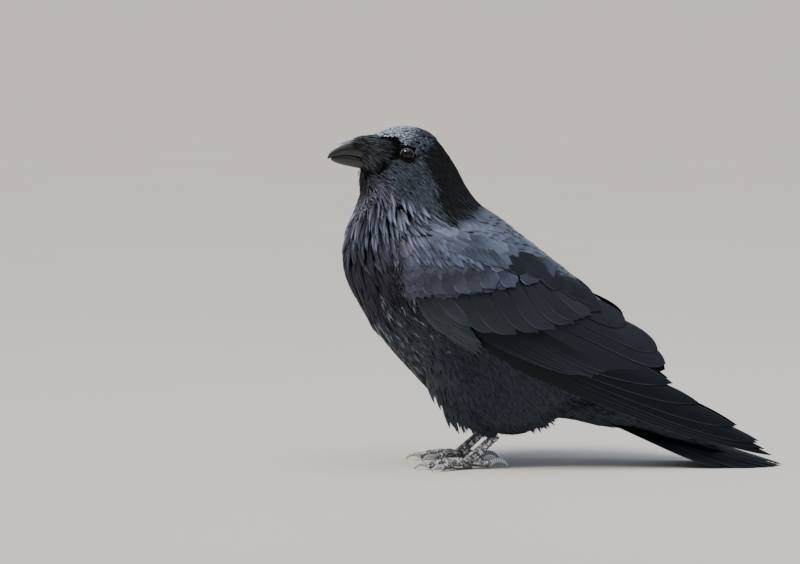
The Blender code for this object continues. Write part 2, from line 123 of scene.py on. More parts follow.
# Folded wing: upper edge x, |y|, z, lower edge x, |y|, z, bulge of the outside, thickness.
WING_ARM = [
    (-75, 51, 231, -76, 54, 212, 3, 5),
    (-64, 52, 241, -69, 60, 193, 6, 8),
    (-41, 52, 248, -56, 65, 165, 9, 10),
    (-7, 49, 248, -32, 67, 142, 13, 11),
    (26, 43, 239, -5, 67, 127, 16, 12),
    (58, 34, 225, 26, 65, 115, 19, 12),
    (91, 23, 204, 58, 62, 102, 22, 10),
    (121, 13, 183, 94, 57, 87, 20, 8),
    (150, 7, 162, 131, 50, 78, 15, 6),
    (176, 6, 140, 163, 40, 86, 9, 4),
    (198, 9, 108, 190, 25, 96, 2, 1.4),
]
PRIMARIES = [
    (5, 52, 160, 3, 58, 129, 6, 4),
    (47, 51, 147, 39, 57, 113, 6, 5),
    (100, 44, 133, 86, 55, 94, 6, 5),
    (147, 34, 117, 131, 51, 77, 6, 5),
    (184, 26, 101, 173, 47, 61, 6, 4),
    (226, 22, 74, 226, 41, 40, 4, 3),
    (262, 20, 50, 262, 35, 27, 2.5, 2.4),
    (289, 20, 32, 290, 30, 18, 1.5, 1.6),
    (306, 22, 17, 308, 26, 12, 0.3, 1.0),
]
TAIL_ROOT = (117.6, 66.5)
TAIL_SLOPE = math.radians(17.6)
TAIL_ARCH = math.radians(50)
TAIL_ARC_ROOT, TAIL_ARC_END = 15.0, 46.0
RECTRIX_LENGTHS = (218, 216, 211, 203, 191, 155)
RECTRIX_PLACES = (4, 11, 18, 25, 32, 39)
FEET = {"left": (-8.0, -35.0), "right": (-16.0, 34.0)}
FOOT_TURN = math.radians(8)
BALL_HEIGHT, BALL_RADIUS, BALL_MIDDLE = 8.0, 6.6, 5.8
ANKLE_BEHIND, ANKLE_HEIGHT = 49.0, 53.0
TARSUS_HALF = (4.4, 3.3)
TARSUS_SHOWN = 0.62  # the share of the bare leg that is modelled; the rest is inside the feathers
THIGH = [
    (-20, 118, 22, 14),
    (-19, 98, 30, 21),
    (-11, 74, 30, 21),
    (-1, 54, 22, 17),
    (9, 41, 13, 11),
    (17, 33, 6.5, 6),
]
THIGH_SIDE = 34.0
# Toes: name, degrees inwards from straight ahead, length, thickness, claw length.
TOES = [
    ("inner", 32, 29, 4.2, 19),
    ("middle", 2, 42, 4.5, 19),
    ("outer", -26, 33, 4.1, 17),
    ("hind", 180, 24, 4.7, 27),
]

# ---------------------------------------------------------------- curved surfaces


def along(rows, place):
    """Table values at row numbers, on a Catmull-Rom curve, carried on straight past both ends."""
    rows = np.asarray(rows, float)
    last = len(rows) - 1
    place = np.asarray(place, float)
    inside = np.clip(place, 0, last)
    start = np.minimum(inside.astype(int), last - 1)
    f = (inside - start)[..., None]
    before, here, there, after = (rows[np.clip(start + k, 0, last)] for k in (-1, 0, 1, 2))
    value = (
        here
        + 0.5 * f * (there - before)
        + f**2 * (before - 2.5 * here + 2 * there - 0.5 * after)
        + f**3 * (1.5 * (here - there) + 0.5 * (after - before))
    )
    past = (place - inside)[..., None]
    return value + np.where(past < 0, past * (rows[1] - rows[0]), past * (rows[-1] - rows[-2]))


def rounded(angle, square):
    """Cosine and sine of a superellipse: each keeps its sign and is raised to 2 / squareness."""
    c, s = np.cos(angle), np.sin(angle)
    power = 2 / square
    return np.sign(c) * np.abs(c) ** power, np.sign(s) * np.abs(s) ** power


def turn_head(points, place):
    """Turns points about an upright axis by the share of the head's turn that their row has."""
    share = np.clip((TURN_NONE - np.asarray(place, float)) / (TURN_NONE - TURN_FULL), 0, 1)
    angle = HEAD_TURN * share * share * (3 - 2 * share)
    x, y = points[..., 0] - TURN_AXIS_X, points[..., 1]
    c, s = np.cos(angle), np.sin(angle)
    return np.stack([TURN_AXIS_X + x * c - y * s, x * s + y * c, points[..., 2]], axis=-1)


def body(place, angle, grow=0.0):
    """Plumage surface of head, neck and trunk. Angle 0 is the back, pi the breast, below 0 the left."""
    row = along(BODY, place)
    back_x, back_z, breast_x, breast_z, half_width = (row[..., k] for k in range(5))
    c, s = rounded(angle, row[..., 5])
    half_height = np.hypot(back_x - breast_x, back_z - breast_z) / 2
    reach = c * (half_height + grow) / (2 * half_height)
    x = (back_x + breast_x) / 2 + (back_x - breast_x) * reach
    z = (back_z + breast_z) / 2 + (back_z - breast_z) * reach
    return turn_head(np.stack([x, s * (half_width + grow), z], axis=-1), place)


def mandible(rows, place, angle, ridge_up, grow=0.0):
    """Bill surface: rounded sections whose width shrinks by 28 percent towards the ridge."""
    row = along(rows, place)
    x, top, bottom, half_width = (row[..., k] for k in range(4))
    c, s = rounded(angle, 2.3)
    half = (top - bottom) / 2 + grow
    toward_ridge = (c if ridge_up else -c) * 0.5 + 0.5
    y = s * (half_width + grow) * (1 - 0.28 * toward_ridge)
    return turn_head(np.stack([x, y, (top + bottom) / 2 + c * half], axis=-1), 0.0)


def wing(rows, place, t, inward=0.0):
    """Outside of the folded left wing: a line from upper to lower edge that bulges by sin(pi t)^0.8."""
    row = along(rows, place)
    upper = row[..., :3] * (1, LEFT, 1)
    chord = row[..., 3:6] * (1, LEFT, 1) - upper
    outward = np.stack([0 * chord[..., 0], chord[..., 2], -chord[..., 1]], axis=-1)
    outward /= np.linalg.norm(outward, axis=-1, keepdims=True)
    arch = np.sin(math.pi * np.clip(t, 0, 1))
    off = row[..., 6] * arch**0.8 - inward
    return upper + chord * np.asarray(t)[..., None] + outward * off[..., None]


def tail(run, arc):
    """Upper side of the tail: an arch whose radius grows with (run / length)^0.7, sloping down."""
    share = np.clip(run / RECTRIX_LENGTHS[0], 0.001, None) ** 0.7
    radius = (TAIL_ARC_ROOT + (TAIL_ARC_END - TAIL_ARC_ROOT) * share) / TAIL_ARCH
    angle = arc / radius
    sink = radius * (1 - np.cos(angle))
    x = TAIL_ROOT[0] + run * math.cos(TAIL_SLOPE) - sink * math.sin(TAIL_SLOPE)
    z = TAIL_ROOT[1] - run * math.sin(TAIL_SLOPE) - sink * math.cos(TAIL_SLOPE)
    return np.stack([x, radius * np.sin(angle), z], axis=-1)


def thigh(side, place, angle, grow=0.0):
    """Feathered shank: level ellipses from the belly down to the bare leg."""
    foot_x, foot_y = FEET[side]
    row = along(THIGH, place)
    x, z, half_length, half_width = (row[..., k] for k in range(4))
    low, high = THIGH[-1][1], THIGH[0][1]
    shift = (foot_x - FEET["left"][0]) * (high - z) / (high - low)
    away = math.copysign(THIGH_SIDE, foot_y)
    return np.stack(
        [x + shift + np.cos(angle) * (half_length + grow), away + np.sin(angle) * (half_width + grow), z],
        axis=-1,
    )


FILL_RINGS, FALL_OFF = 40, 0.985  # how far a side view is carried on past its edge, and how it falls


class SideView:
    """How far the bird's left side stands out from its middle plane, on a 2 mm grid over x and z."""

    STEP = 2.0
    LOW = np.array([-180.0, -20.0])
    SHAPE = (270, 200)

    def __init__(self, clouds):
        self.out = np.full(self.SHAPE, -1.0)
        for points in clouds:
            np.maximum.at(self.out, self.cell(points[:, [0, 2]]), np.abs(points[:, 1]))
        self.covered = self.out >= 0

    @classmethod
    def cell(cls, places):
        """The grid cell of each x and z."""
        cell = np.rint((places - cls.LOW) / cls.STEP).astype(int)
        return tuple(np.clip(cell, 0, np.array(cls.SHAPE) - 1).T)

    def finish(self, smoothing=6):
        """Fills the empty cells from their neighbours' mean, ring by ring, then smooths."""
        for _ in range(FILL_RINGS):
            known = self.out >= 0
            total, count = self.around(np.where(known, self.out, 0)), self.around(known * 1.0)
            fill = ~known & (count > 0)
            self.out[fill] = total[fill] / count[fill] * FALL_OFF
        self.out = np.maximum(self.out, 0)
        for _ in range(smoothing):
            self.out = self.around(self.out) / 9
        return self

    @staticmethod
    def around(grid):
        """Sum over each cell and its eight neighbours."""
        wide = np.pad(grid, 1, mode="edge")
        n, m = grid.shape
        return sum(wide[i : i + n, j : j + m] for i in range(3) for j in range(3))

    def __call__(self, x, z):
        """Height at any x and z, by bilinear interpolation."""
        u = np.clip((x - self.LOW[0]) / self.STEP, 0, self.SHAPE[0] - 1.001)
        v = np.clip((z - self.LOW[1]) / self.STEP, 0, self.SHAPE[1] - 1.001)
        i, j = u.astype(int), v.astype(int)
        f, g = u - i, v - j
        o = self.out
        low = o[i, j] * (1 - g) + o[i, j + 1] * g
        high = o[i + 1, j] * (1 - g) + o[i + 1, j + 1] * g
        return low * (1 - f) + high * f

    def surface(self, side):
        """The side as a surface over x and z."""
        return lambda x, z: np.stack([x, side * self(x, z), z], axis=-1)


def grid(first, last, count, around=72):
    """Two parameter arrays: even steps from first to last, and angles once round."""
    angle = np.linspace(0, WHOLE_TURN, around, endpoint=False)
    return np.meshgrid(np.linspace(first, last, count), angle, indexing="ij")


def cloud(form, rows, across=(0.0, 1.0)):
    """A dense set of points on a surface whose first parameter runs over a table's rows."""
    a, b = np.meshgrid(np.linspace(0, len(rows) - 1, 600), np.linspace(*across, 300), indexing="ij")
    return form(a, b).reshape(-1, 3)


arm_cloud = cloud(lambda a, b: wing(WING_ARM, a, b), WING_ARM)
hand_cloud = cloud(lambda a, b: wing(PRIMARIES, a, b), PRIMARIES)
body_cloud = cloud(body, BODY, across=(-math.pi, 0.0))
body_cloud = body_cloud[body_cloud[:, 1] < 0]
ARM_SIDE = SideView([arm_cloud, body_cloud]).finish()
HAND_SIDE = SideView([hand_cloud]).finish()
UNDER_WING = SideView([arm_cloud, hand_cloud]).covered


def ankle_cloud(side):
    """A rounded cover over the ankle, 9 to 18 mm round it, for the flank's fringe to lie on."""
    x, y = FEET[side]
    turn, rise = np.meshgrid(np.linspace(0, WHOLE_TURN, 90), np.linspace(-1.5, 1.5, 60), indexing="ij")
    ball = np.stack([np.cos(rise) * np.cos(turn), np.cos(rise) * np.sin(turn), np.sin(rise)], axis=-1)
    return (ball * (18, 9, 16) + (x + ANKLE_BEHIND - 4, -abs(y), ANKLE_HEIGHT + 2)).reshape(-1, 3)


def thigh_cloud(side):
    """The shank's surface, moved to the left side."""
    points = cloud(lambda a, b: thigh(side, a, b), THIGH, across=(0.0, WHOLE_TURN))
    return points * (1, -1 if side == "right" else 1, 1)


FLANK_SIDE = {
    name: SideView([body_cloud, thigh_cloud(name), ankle_cloud(name)]).finish(smoothing=44)
    for name in FEET
}

# ---------------------------------------------------------------- meshes

origin_x = np.mean([corner[0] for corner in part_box("eye_left")]) / MM
eye_x = turn_head(np.array([EYE[0], LEFT * EYE_SIDE, EYE[1]]), 0.0)[0]
SHIFT = np.array([origin_x - eye_x, 0.0, 0.0])  # from these measures to the frame


def placed(name, data):
    """A new object in the scene."""
    made = bpy.data.objects.new(name, data)
    bpy.context.scene.collection.objects.link(made)
    return made


def new_object(name, points, faces, material):
    """A mesh object from arrays of points in millimetres and of triangles."""
    data = bpy.data.meshes.new(name)
    data.vertices.add(len(points))
    data.vertices.foreach_set("co", ((points + SHIFT) * MM).astype(np.float32).ravel())
    data.loops.add(faces.size)
    data.loops.foreach_set("vertex_index", faces.astype(np.int32).ravel())
    data.polygons.add(len(faces))
    data.polygons.foreach_set("loop_start", np.arange(0, faces.size, 3, dtype=np.int32))
    data.update(calc_edges=True)
    data.shade_smooth()
    data.materials.append(material)
    return placed(name, data)


def point_attribute(made, name, values):
    """Stores three numbers at each point, for the material to read."""
    attribute = made.data.attributes.new(name, "FLOAT_COLOR", "POINT")
    four = np.concatenate([values, np.ones((len(values), 1))], axis=1)
    attribute.data.foreach_set("color", four.astype(np.float32).ravel())


def threefold(values):
    """The same value three times for each point."""
    return np.repeat(values.reshape(-1, 1), 3, axis=1)


def settle(made, slot_name, *nodes):
    """Puts a finished piece on the bird's one body and hides the nodes that it stands for; the slot name is
    not used.
    """
    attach(made, "root")
    if nodes:
        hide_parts(*nodes)


def volume(points, faces):
    """Six times the volume inside a closed surface, below 0 if its faces look inwards."""
    a, b, c = (points[faces[:, k]] for k in range(3))
    return np.einsum("ij,ij->", a - points.mean(axis=0), np.cross(b - a, c - a))


def outward(points, faces):
    """Faces turned so that the closed surface has a positive volume."""
    return faces if volume(points, faces) > 0 else faces[:, ::-1]


def closed_grid(points):
    """Faces over an array of rings (rows, around, 3), with a fan to a middle point at each end."""
    rows, around, _ = points.shape
    r, k = np.meshgrid(np.arange(rows - 1), np.arange(around), indexing="ij")
    a, b = r * around + k, r * around + (k + 1) % around
    quads = np.stack([a, b, b + around, a + around], axis=-1).reshape(-1, 4)
    k, after = np.arange(around), (np.arange(around) + 1) % around
    middle, last_ring = np.full(around, rows * around), (rows - 1) * around
    fans = [np.stack([after, k, middle], axis=1),
            np.stack([last_ring + k, last_ring + after, middle + 1], axis=1)]
    points = np.concatenate([points.reshape(-1, 3), points[[0, -1]].mean(axis=1)])
    return points, outward(points, np.concatenate([quads[:, [0, 1, 2]], quads[:, [0, 2, 3]], *fans]))


def joined(forms):
    """Points and faces of several closed forms as one mesh."""
    points, faces, count = [], [], 0
    for form in forms:
        form_points, form_faces = closed_grid(form)
        points.append(form_points)
        faces.append(form_faces + count)
        count += len(form_points)
    return np.concatenate(points), np.concatenate(faces)


# ---------------------------------------------------------------- feathers

# Sections of a vane: place across (-1 to 1) and height, over the top and back under.
SECTIONS = {
    "small": ((-1, 0, 1, 0), (0, 1, 0, -0.35)),
    "large": ((-1, -0.5, 0, 0.5, 1, 0.5, 0, -0.5), (0, 0.7, 1, 0.7, 0, 0.25, 0.45, 0.25)),
}
# Outline of a vane: half width at share s is s^a (1 - s^b)^c, made 1 at its widest.
OUTLINES = {
    "scale": (0.45, 3.5, 0.5),
    "lance": (0.5, 1.5, 0.95),
    "hair": (0.25, 1.2, 0.9),
    "round": (0.4, 6.0, 0.5),
    "blade": (0.3, 9.0, 0.55),
    "pinion": (0.25, 7.0, 0.8),
    "point": (0.35, 3.2, 0.8),
}
NARROWEST = 0.05
CROWDING = 1.35  # the rows of a vane lie closer together towards its tip
SWEEP_START, SWEEP = 0.55, 0.35  # where a vane's edges start to fall back, and by how much of its half width
UNSHADED = 0.35  # how far a feather of shade 0 is below the darkest chance
GROUND_CLEAR, GROUND_EXTRA = 0.25, 0.12  # lowest feather, and what is added where one would sink in
VANE_SHIFT, CENTIMETRE = 40, 0.1  # the Vane map starts at a place of its own in each feather
MAP_EDGE, PATCH = 0.01, 0.003  # free edge of the baked map, and the width of a feather's patch on it
STRIP_GAP = 0.08  # free share of a long feather's strip on each side
CREASE = math.radians(55)


def outline(kind, s):
    """Half width of a vane along its length, as a share of its widest."""
    a, b, c = OUTLINES[kind]
    t = np.linspace(0, 1, 200)
    widest = (t**a * (1 - t**b) ** c).max()
    return np.maximum(s**a * (1 - s**b) ** c / widest, NARROWEST)


def vane_faces(rows, ring):
    """Triangles of one closed vane, and each corner's row and place round the section."""
    top = ring // 2 + 1
    corners = []
    for r in range(rows - 1):
        for k in range(ring):
            a, b, c, d = (r, k), (r, k + 1), (r + 1, k + 1), (r + 1, k)
            corners += [(a, b, c), (a, c, d)]
    for r, under in ((0, -0.3), (rows - 1, 0.3)):
        strip = [((r, 0), (r, 1), (r + under, ring - 1))]
        for k in range(1, top - 2):
            a, b = (r, k), (r, k + 1)
            c, d = (r + under, ring - k - 1), (r + under, ring - k)
            strip += [(a, b, c), (a, c, d)]
        strip.append(((r, top - 2), (r, top - 1), (r + under, ring - top + 2)))
        corners += [tri[::-1] for tri in strip] if r == 0 else strip
    corners = np.array(corners, float)
    index = np.rint(corners[..., 0]).astype(int) * ring + corners[..., 1].astype(int) % ring
    return index, corners


def stretch(surface, a, b):
    """How far a surface runs for each unit of its two parameters."""
    e = 1e-3
    here = surface(a, b)
    return (np.linalg.norm(surface(a + e, b) - here, axis=-1) / e,
            np.linalg.norm(surface(a, b + e) - here, axis=-1) / e)


class Coat:
    """Feathers gathered for one joined mesh, with the map that their finish is baked through."""

    def __init__(self, name, finish, crisp=True, strips=False):
        self.name, self.finish, self.crisp, self.strips = name, finish, crisp, strips
        self.points, self.faces, self.lay, self.vane, self.corner, self.root = [], [], [], [], [], []
        self.count = 0

    def add(self, surface, a, b, heading, length, half, kind="scale", rows=6, section="small",
            lift=0.5, rise=1.0, tilt=0.0, camber=0.8, bow=0.0, fray=0.0, seed=0, out=1,
            metric=None, step=2e-3, swept=1.0, shade=1.0):
        """Lays vanes on a surface from its roots (a, b), each along its heading.

        A point at share s of the length and t of the half width goes length s ahead and t half
        outline(s) + 4 bow length s (1 - s) aside, in the surface's own units at the root, and then
        lift + rise s + tilt t + camber height outwards along the surface's normal. Its edges are swept
        back past the middle, and fray throws its points about. Shade runs from 0, for a feather as
        dark as its finish goes, to 1: it sets how much of the finish's painted gloss the feather gets, and
        so paints light and shade over a tract.
        """
        rng = np.random.default_rng(seed)
        n = len(a)
        if n == 0:
            return
        metric = metric or stretch(surface, a, b)
        per_feather = (np.broadcast_to(np.asarray(value, float), (n,))[:, None, None] for value in (
            heading, length, half, lift, rise, tilt, camber, bow, shade, a, b, *metric))
        heading, length, half, lift, rise, tilt, camber, bow, shade, pa, pb, unit_a, unit_b = per_feather
        s = 1 - (1 - np.linspace(0, 1, rows)[:, None]) ** CROWDING
        t, height = (np.array(v, float) for v in SECTIONS[section])
        width = outline(kind, s)
        across = half * width * t + 4 * bow * length * (s * (1 - s))
        ahead = length * s - np.abs(t) * (s > SWEEP_START) * half * SWEEP * swept
        if fray:
            ahead = ahead + rng.normal(0, fray, across.shape) * (s > 0.5)
            across = across * (1 + rng.normal(0, 0.06 * fray, across.shape))
        c, d = np.cos(heading), np.sin(heading)
        pa = pa + (ahead * c - across * d) / unit_a
        pb = pb + (ahead * d + across * c) / unit_b
        here = surface(pa, pb)
        normal = np.cross(surface(pa + step, pb) - here, surface(pa, pb + step) - here)
        normal *= out / np.maximum(np.linalg.norm(normal, axis=-1, keepdims=True), 1e-12)
        thin = np.sqrt(width)
        off = lift + rise * s + tilt * t * thin + camber * height * thin
        points = here + normal * off[..., None]
        points[..., 2] = np.maximum(points[..., 2], GROUND_CLEAR + GROUND_EXTRA * (points[..., 2] < 0))
        ring = len(t)
        index, corners = vane_faces(rows, ring)
        if volume(points[0].reshape(-1, 3), index) <= 0:
            index, corners = index[:, ::-1], corners[:, ::-1]
        first = self.count + np.arange(n)[:, None, None] * rows * ring
        chance = rng.random(n)[:, None, None]
        paleness = chance * shade - UNSHADED * (1 - shade)
        lay = np.stack(np.broadcast_arrays(s, np.abs(t), paleness), axis=-1)
        vane = np.stack([across, ahead + chance * VANE_SHIFT], axis=-1) * CENTIMETRE
        self.points.append(points.reshape(-1, 3))
        self.lay.append(lay.reshape(-1, 3))
        self.vane.append(vane.reshape(-1, 2))
        self.faces.append((index + first).reshape(-1, 3))
        self.root.append(np.stack([a, b], axis=1))
        self.corner.append(corners / (rows - 1, ring))
        self.count += n * rows * ring

    def bake_map(self):
        """Corner coordinates: a small patch at the root's place, or a strip for each long feather."""
        roots = np.concatenate(self.root)
        low, high = roots.min(axis=0), roots.max(axis=0)
        parts, used = [], 0
        for place, spread in zip(self.root, self.corner):
            if self.strips:
                column = (np.arange(len(place)) + used)[:, None, None]
                u = (column + STRIP_GAP + (1 - 2 * STRIP_GAP) * spread[..., 1]) / len(roots)
                v = 0.03 + 0.94 * (spread[..., 0] + 0.02) / 1.04  # the ends' corners reach past 0 and 1
                v = np.broadcast_to(v, u.shape)
                corners = np.stack([u, v], axis=-1)
            else:
                middle = MAP_EDGE + (1 - 2 * MAP_EDGE) * (place - low) / np.maximum(high - low, 1e-9)
                corners = middle[:, None, None] + (spread - 0.5) * PATCH
            parts.append(corners.reshape(-1, 2))
            used += len(place)
        return np.concatenate(parts)

    def finish_piece(self):
        """Makes the mesh, its maps and its attribute, and puts it in the frame."""
        faces = np.concatenate(self.faces)
        made = new_object(self.name, np.concatenate(self.points), faces, self.finish)
        point_attribute(made, "lay", np.concatenate(self.lay))
        for name, corners in (("Vane", np.concatenate(self.vane)[faces]), ("OFBake", self.bake_map())):
            layer = made.data.uv_layers.new(name=name)
            layer.data.foreach_set("uv", corners.astype(np.float32).ravel())
        if self.crisp:
            made.data.set_sharp_from_angle(angle=CREASE)
        settle(made, "plumage")


# ---------------------------------------------------------------- finishes

BARBS_PER_UNIT = 10.0  # the Vane map counts in centimetres and barb spacing is in millimetres


def linear(hex_colour):
    """An sRGB hex colour as a linear colour with full alpha."""
    srgb = np.array([int(hex_colour[k : k + 2], 16) for k in (1, 3, 5)]) / 255
    value = np.where(srgb <= 0.04045, srgb / 12.92, ((srgb + 0.055) / 1.055) ** 2.4)
    return (*value.tolist(), 1.0)


class Finish:
    """A material with one Principled shader, whose constants are set on the shader's own sockets."""

    def __init__(self, name, **constants):
        self.material = bpy.data.materials.new(name)
        self.material.use_nodes = True
        self.tree = self.material.node_tree
        self.shader = self.tree.nodes["Principled BSDF"]
        for key, value in constants.items():
            self.shader.inputs[key.replace("_", " ")].default_value = value

    def add(self, kind, inputs=(), **settings):
        """Adds a node with its settings and links, and gives its outputs.

        Inputs are in the node's order, or keyed. Each is a value, or another node's output.
        """
        node = self.tree.nodes.new("ShaderNode" + kind)
        for key, value in settings.items():
            setattr(node, key, value)
        for key, value in inputs.items() if isinstance(inputs, dict) else enumerate(inputs):
            if isinstance(value, bpy.types.NodeSocket):
                self.tree.links.new(value, node.inputs[key])
            else:
                node.inputs[key].default_value = value
        return node.outputs

    def times(self, *values):
        """The product of two values."""
        return self.add("Math", values, operation="MULTIPLY")[0]

    def times_plus(self, *values):
        """The product of two values plus the third."""
        return self.add("Math", values, operation="MULTIPLY_ADD")[0]

    def smooth(self, *values):
        """A value eased from its low to its high end, onto 0 to 1 or between two further values."""
        return self.add("MapRange", values, interpolation_type="SMOOTHSTEP")[0]

    def lay(self):
        """The three numbers that are stored at each point of the mesh."""
        return self.add("SeparateColor", [self.add("Attribute", attribute_name="lay")["Color"]])

    def noise(self, scale, detail):
        """Noise on the piece's own coordinates, in features per metre."""
        place = self.add("TexCoord")["Object"]
        return self.add("TexNoise", {"Vector": place, "Scale": scale, "Detail": detail})[0]

    def coats(self, base, *layers, rough=None, bump=None):
        """Links the base colour, with each layer (share, hex colour) over the last, and the relief.

        Bump is the height, its strength and its distance in metres.
        """
        for share, colour in layers:
            colours = {0: share, 6: base, 7: linear(colour)}
            base = self.add("Mix", colours, data_type="RGBA")[2]
        self.tree.links.new(base, self.shader.inputs["Base Color"])
        if rough is not None:
            self.tree.links.new(rough, self.shader.inputs["Roughness"])
        if bump is not None:
            height, strength, distance = bump
            relief = {"Height": height, "Strength": strength, "Distance": distance}
            self.tree.links.new(self.add("Bump", relief)[0], self.shader.inputs["Normal"])
        return self.material


def plumage(name, dark, pale, edge, rough, tint="#c8d0da", sheen=0.15, barb=0.9, specular=0.5,
            gaps=0.5, rim=(0.6, 1.0, 0.6), flecks=0.0, even=0.25, ior=1.55, grain=(1.0, 0.35)):
    """Feather keratin with melanin: near black. Its pale colour, growing towards each tip, is painted gloss:
    painted sheen and highlight of the sky and the key light, laid in the base colour.

    Barbs leave the shaft at a slant, so their phase is the way along less 1.3 of the way out from it.
    Rim is where across the vane the edge colour starts and ends, and how strong it is there: a pale edge
    colour is a painted highlight along the vane's edges, a dark one painted shade at its sides. Flecks is
    the share of feathers with a painted highlight on a pale, lit tip. Even is added to each feather's own
    chance of getting the painted gloss. Grain is how fast the clumps of barbs change along and across the
    vane.
    """
    made = Finish(name, Specular_IOR_Level=specular, Sheen_Weight=sheen, IOR=ior, Sheen_Roughness=0.35,
                  Specular_Tint=linear(tint), Sheen_Tint=linear(tint))
    add = made.add
    along_vane, from_shaft, chance = made.lay()
    aside, ahead, _ = add("SeparateXYZ", [add("UVMap", uv_map="Vane")[0]])
    way_out = add("Math", [aside], operation="ABSOLUTE")[0]
    phase = made.times_plus(way_out, -1.3, ahead)
    place = add("CombineXYZ", [made.times(phase, grain[0]), made.times(aside, grain[1])])[0]
    clump = add("TexNoise", {"Vector": place, "Scale": 6.0, "Detail": 3.0})[0]
    turns = made.times(phase, WHOLE_TURN * BARBS_PER_UNIT / barb)
    barbs = made.times_plus(add("Math", [turns], operation="SINE")[0], 0.25, clump)
    # Painted gloss: the pale colour grows towards each feather's tip, by its own chance and shade.
    tip = made.smooth(along_vane, 0.1, 0.9)
    lightness = add("Math", [even, chance], operation="ADD")[0]
    share = made.times(tip, lightness)
    # Painted highlight along the vane's edges, or painted shade there where the edge colour is dark.
    painted_rim = made.times(made.smooth(from_shaft, *rim[:2]), made.times(tip, rim[2]))
    if rim[2] and linear(edge)[0] > linear(dark)[0]:
        painted_rim = made.times(painted_rim, made.smooth(lightness, 0.0, 0.2))
    gap = made.times(made.smooth(barbs, 0.5, 0.3), gaps)
    layers = [(share, pale), (painted_rim, edge), (gap, "#040405")]
    if flecks:
        # Painted highlight: a pale, lit tip on a few of the feathers.
        painted_highlight = made.smooth(chance, 1 - flecks - 0.05, 1 - flecks)
        near_tip = made.smooth(along_vane, 0.55, 0.95)
        layers.append((made.times(painted_highlight, near_tip), "#767c86"))
    return made.coats(linear(dark), *layers, rough=made.times_plus(clump, 0.15, rough),
                      bump=(barbs, 0.25, 0.0004))


# Crown: tiny closed vanes, each with a pale glint, a painted reflection of the sky in its colour.
CROWN = plumage("feather_crown", "#08090b", "#d4e1f6", "#dce8fa", 0.36, "#c6d0e6", barb=0.6,
                specular=0.7, ior=1.6, gaps=0.7, flecks=0.3, rim=(0.2, 1.0, 0.5), even=0.3)
# Mantle and scapulars: broad smooth vanes with a painted grey-blue sheen, the sky's reflection; slaty
# further back, with less of it.
MANTLE = plumage("feather_mantle", "#14171c", "#626d7c", "#707b8c", 0.42, "#c6d0ee", sheen=0.3,
                 specular=0.7, gaps=0.6, even=0.35)
SLATE = plumage("feather_slate", "#08090b", "#191c21", "#30353c", 0.46, "#c6d0dc", specular=0.35)
# Lesser and median wing coverts: violet grey, a painted sheen, with a thin pale rim, a painted highlight.
LESSER = plumage("feather_lesser_covert", "#15171c", "#474b5c", "#6a7088", 0.42, "#c8cce4", sheen=0.25,
                 specular=0.7, gaps=0.4, rim=(0.8, 1.0, 0.6), even=0.35)
# Greater coverts and tertials: darker, closed, with crisp thin edges, paler there as a painted highlight.
COVERT = plumage("feather_greater_covert", "#141519", "#26272d", "#4c4f5c", 0.4, "#c6cede", sheen=0.1,
                 gaps=0.35, rim=(0.86, 1.0, 0.7))
# Primary coverts: a bluish painted sheen, with a painted highlight along their edges.
PRIMARY_COVERT = plumage("feather_primary_covert", "#101315", "#2c3238", "#59626c", 0.38, "#c0d0da",
                         gaps=0.3, rim=(0.84, 1.0, 0.7))
# Throat hackles: long loose points, grey violet along the middle as painted sheen, black at the sides as
# painted shade.
HACKLE = plumage("feather_hackle", "#0c0d11", "#a2acc7", "#020203", 0.36, "#cfcde6", sheen=0.08,
                 specular=0.6, gaps=0.92, rim=(0.4, 0.85, 1.0), even=0.3, grain=(0.16, 1.9))
# Cheek and chin: their pale grey is painted sheen, and their darker edge colour painted shade at each vane's
# sides.
CHEEK = plumage("feather_cheek", "#0b0d10", "#657182", "#16181c", 0.38, gaps=0.9, even=0.1,
                grain=(0.3, 1.0))
CHIN = plumage("feather_chin", "#0e0f12", "#858b99", "#16171a", 0.36, "#cfcde6", barb=0.5, gaps=0.6,
               grain=(0.3, 1.0))
# Breast and belly: downy, blue black, a little painted gloss, darker at each vane's sides as painted shade;
# some of the breast's tips carry a painted highlight, pale where they catch the light.
BREAST = plumage("feather_breast", "#0b0c0f", "#33383f", "#121418", 0.42, "#c2c8dc", gaps=0.7,
                 flecks=0.13, grain=(0.3, 1.3))
DOWNY = plumage("feather_downy", "#0a0c0f", "#2a3037", "#15181c", 0.46, "#b9c6dc", gaps=0.7,
                grain=(0.3, 1.3))
# Collar: its pale slate is painted sheen, its darker edge colour painted shade at each vane's sides.
COLLAR = plumage("feather_collar", "#0c0e11", "#434e60", "#1a1c20", 0.4, gaps=0.7, even=0.2,
                 grain=(0.3, 1.0))
# Nape and lores: silky hairs, almost without gloss.
SILKY = plumage("feather_silky", "#070707", "#111111", "#181818", 0.5, "#c8cad0", sheen=0.0, barb=0.6,
                specular=0.35)
LORAL = plumage("feather_loral", "#030303", "#060606", "#090909", 0.65, "#c8cad0", sheen=0.0,
                specular=0.15)
# Bristles: black, a few with a pale painted highlight.
BRISTLE = plumage("feather_bristle", "#060708", "#a0a8b1", "#8a929b", 0.35, sheen=0.0,
                  rim=(0.8, 1.0, 0.0), even=-0.5, grain=(0.3, 1.0))
# Flight feathers: stiff smooth vanes, green-blue black as painted sheen, paler on their outer edge as
# painted highlight.
FLIGHT = plumage("feather_flight", "#050607", "#22262d", "#464c56", 0.4, "#bccbd8", sheen=0.0,
                 specular=0.25, gaps=0.2, rim=(0.9, 1.0, 0.85), even=0.5)
# Coverts at the wing's bend: narrow, violet grey as painted sheen, each with black beside it as painted
# shadow.
BEND = plumage("feather_wing_bend", "#16181f", "#626a84", "#0a0b0e", 0.38, "#c8cce8", sheen=0.25,
               specular=0.7, ior=1.6, gaps=0.45, rim=(0.7, 1.0, 0.85), even=0.35, grain=(0.3, 1.2))


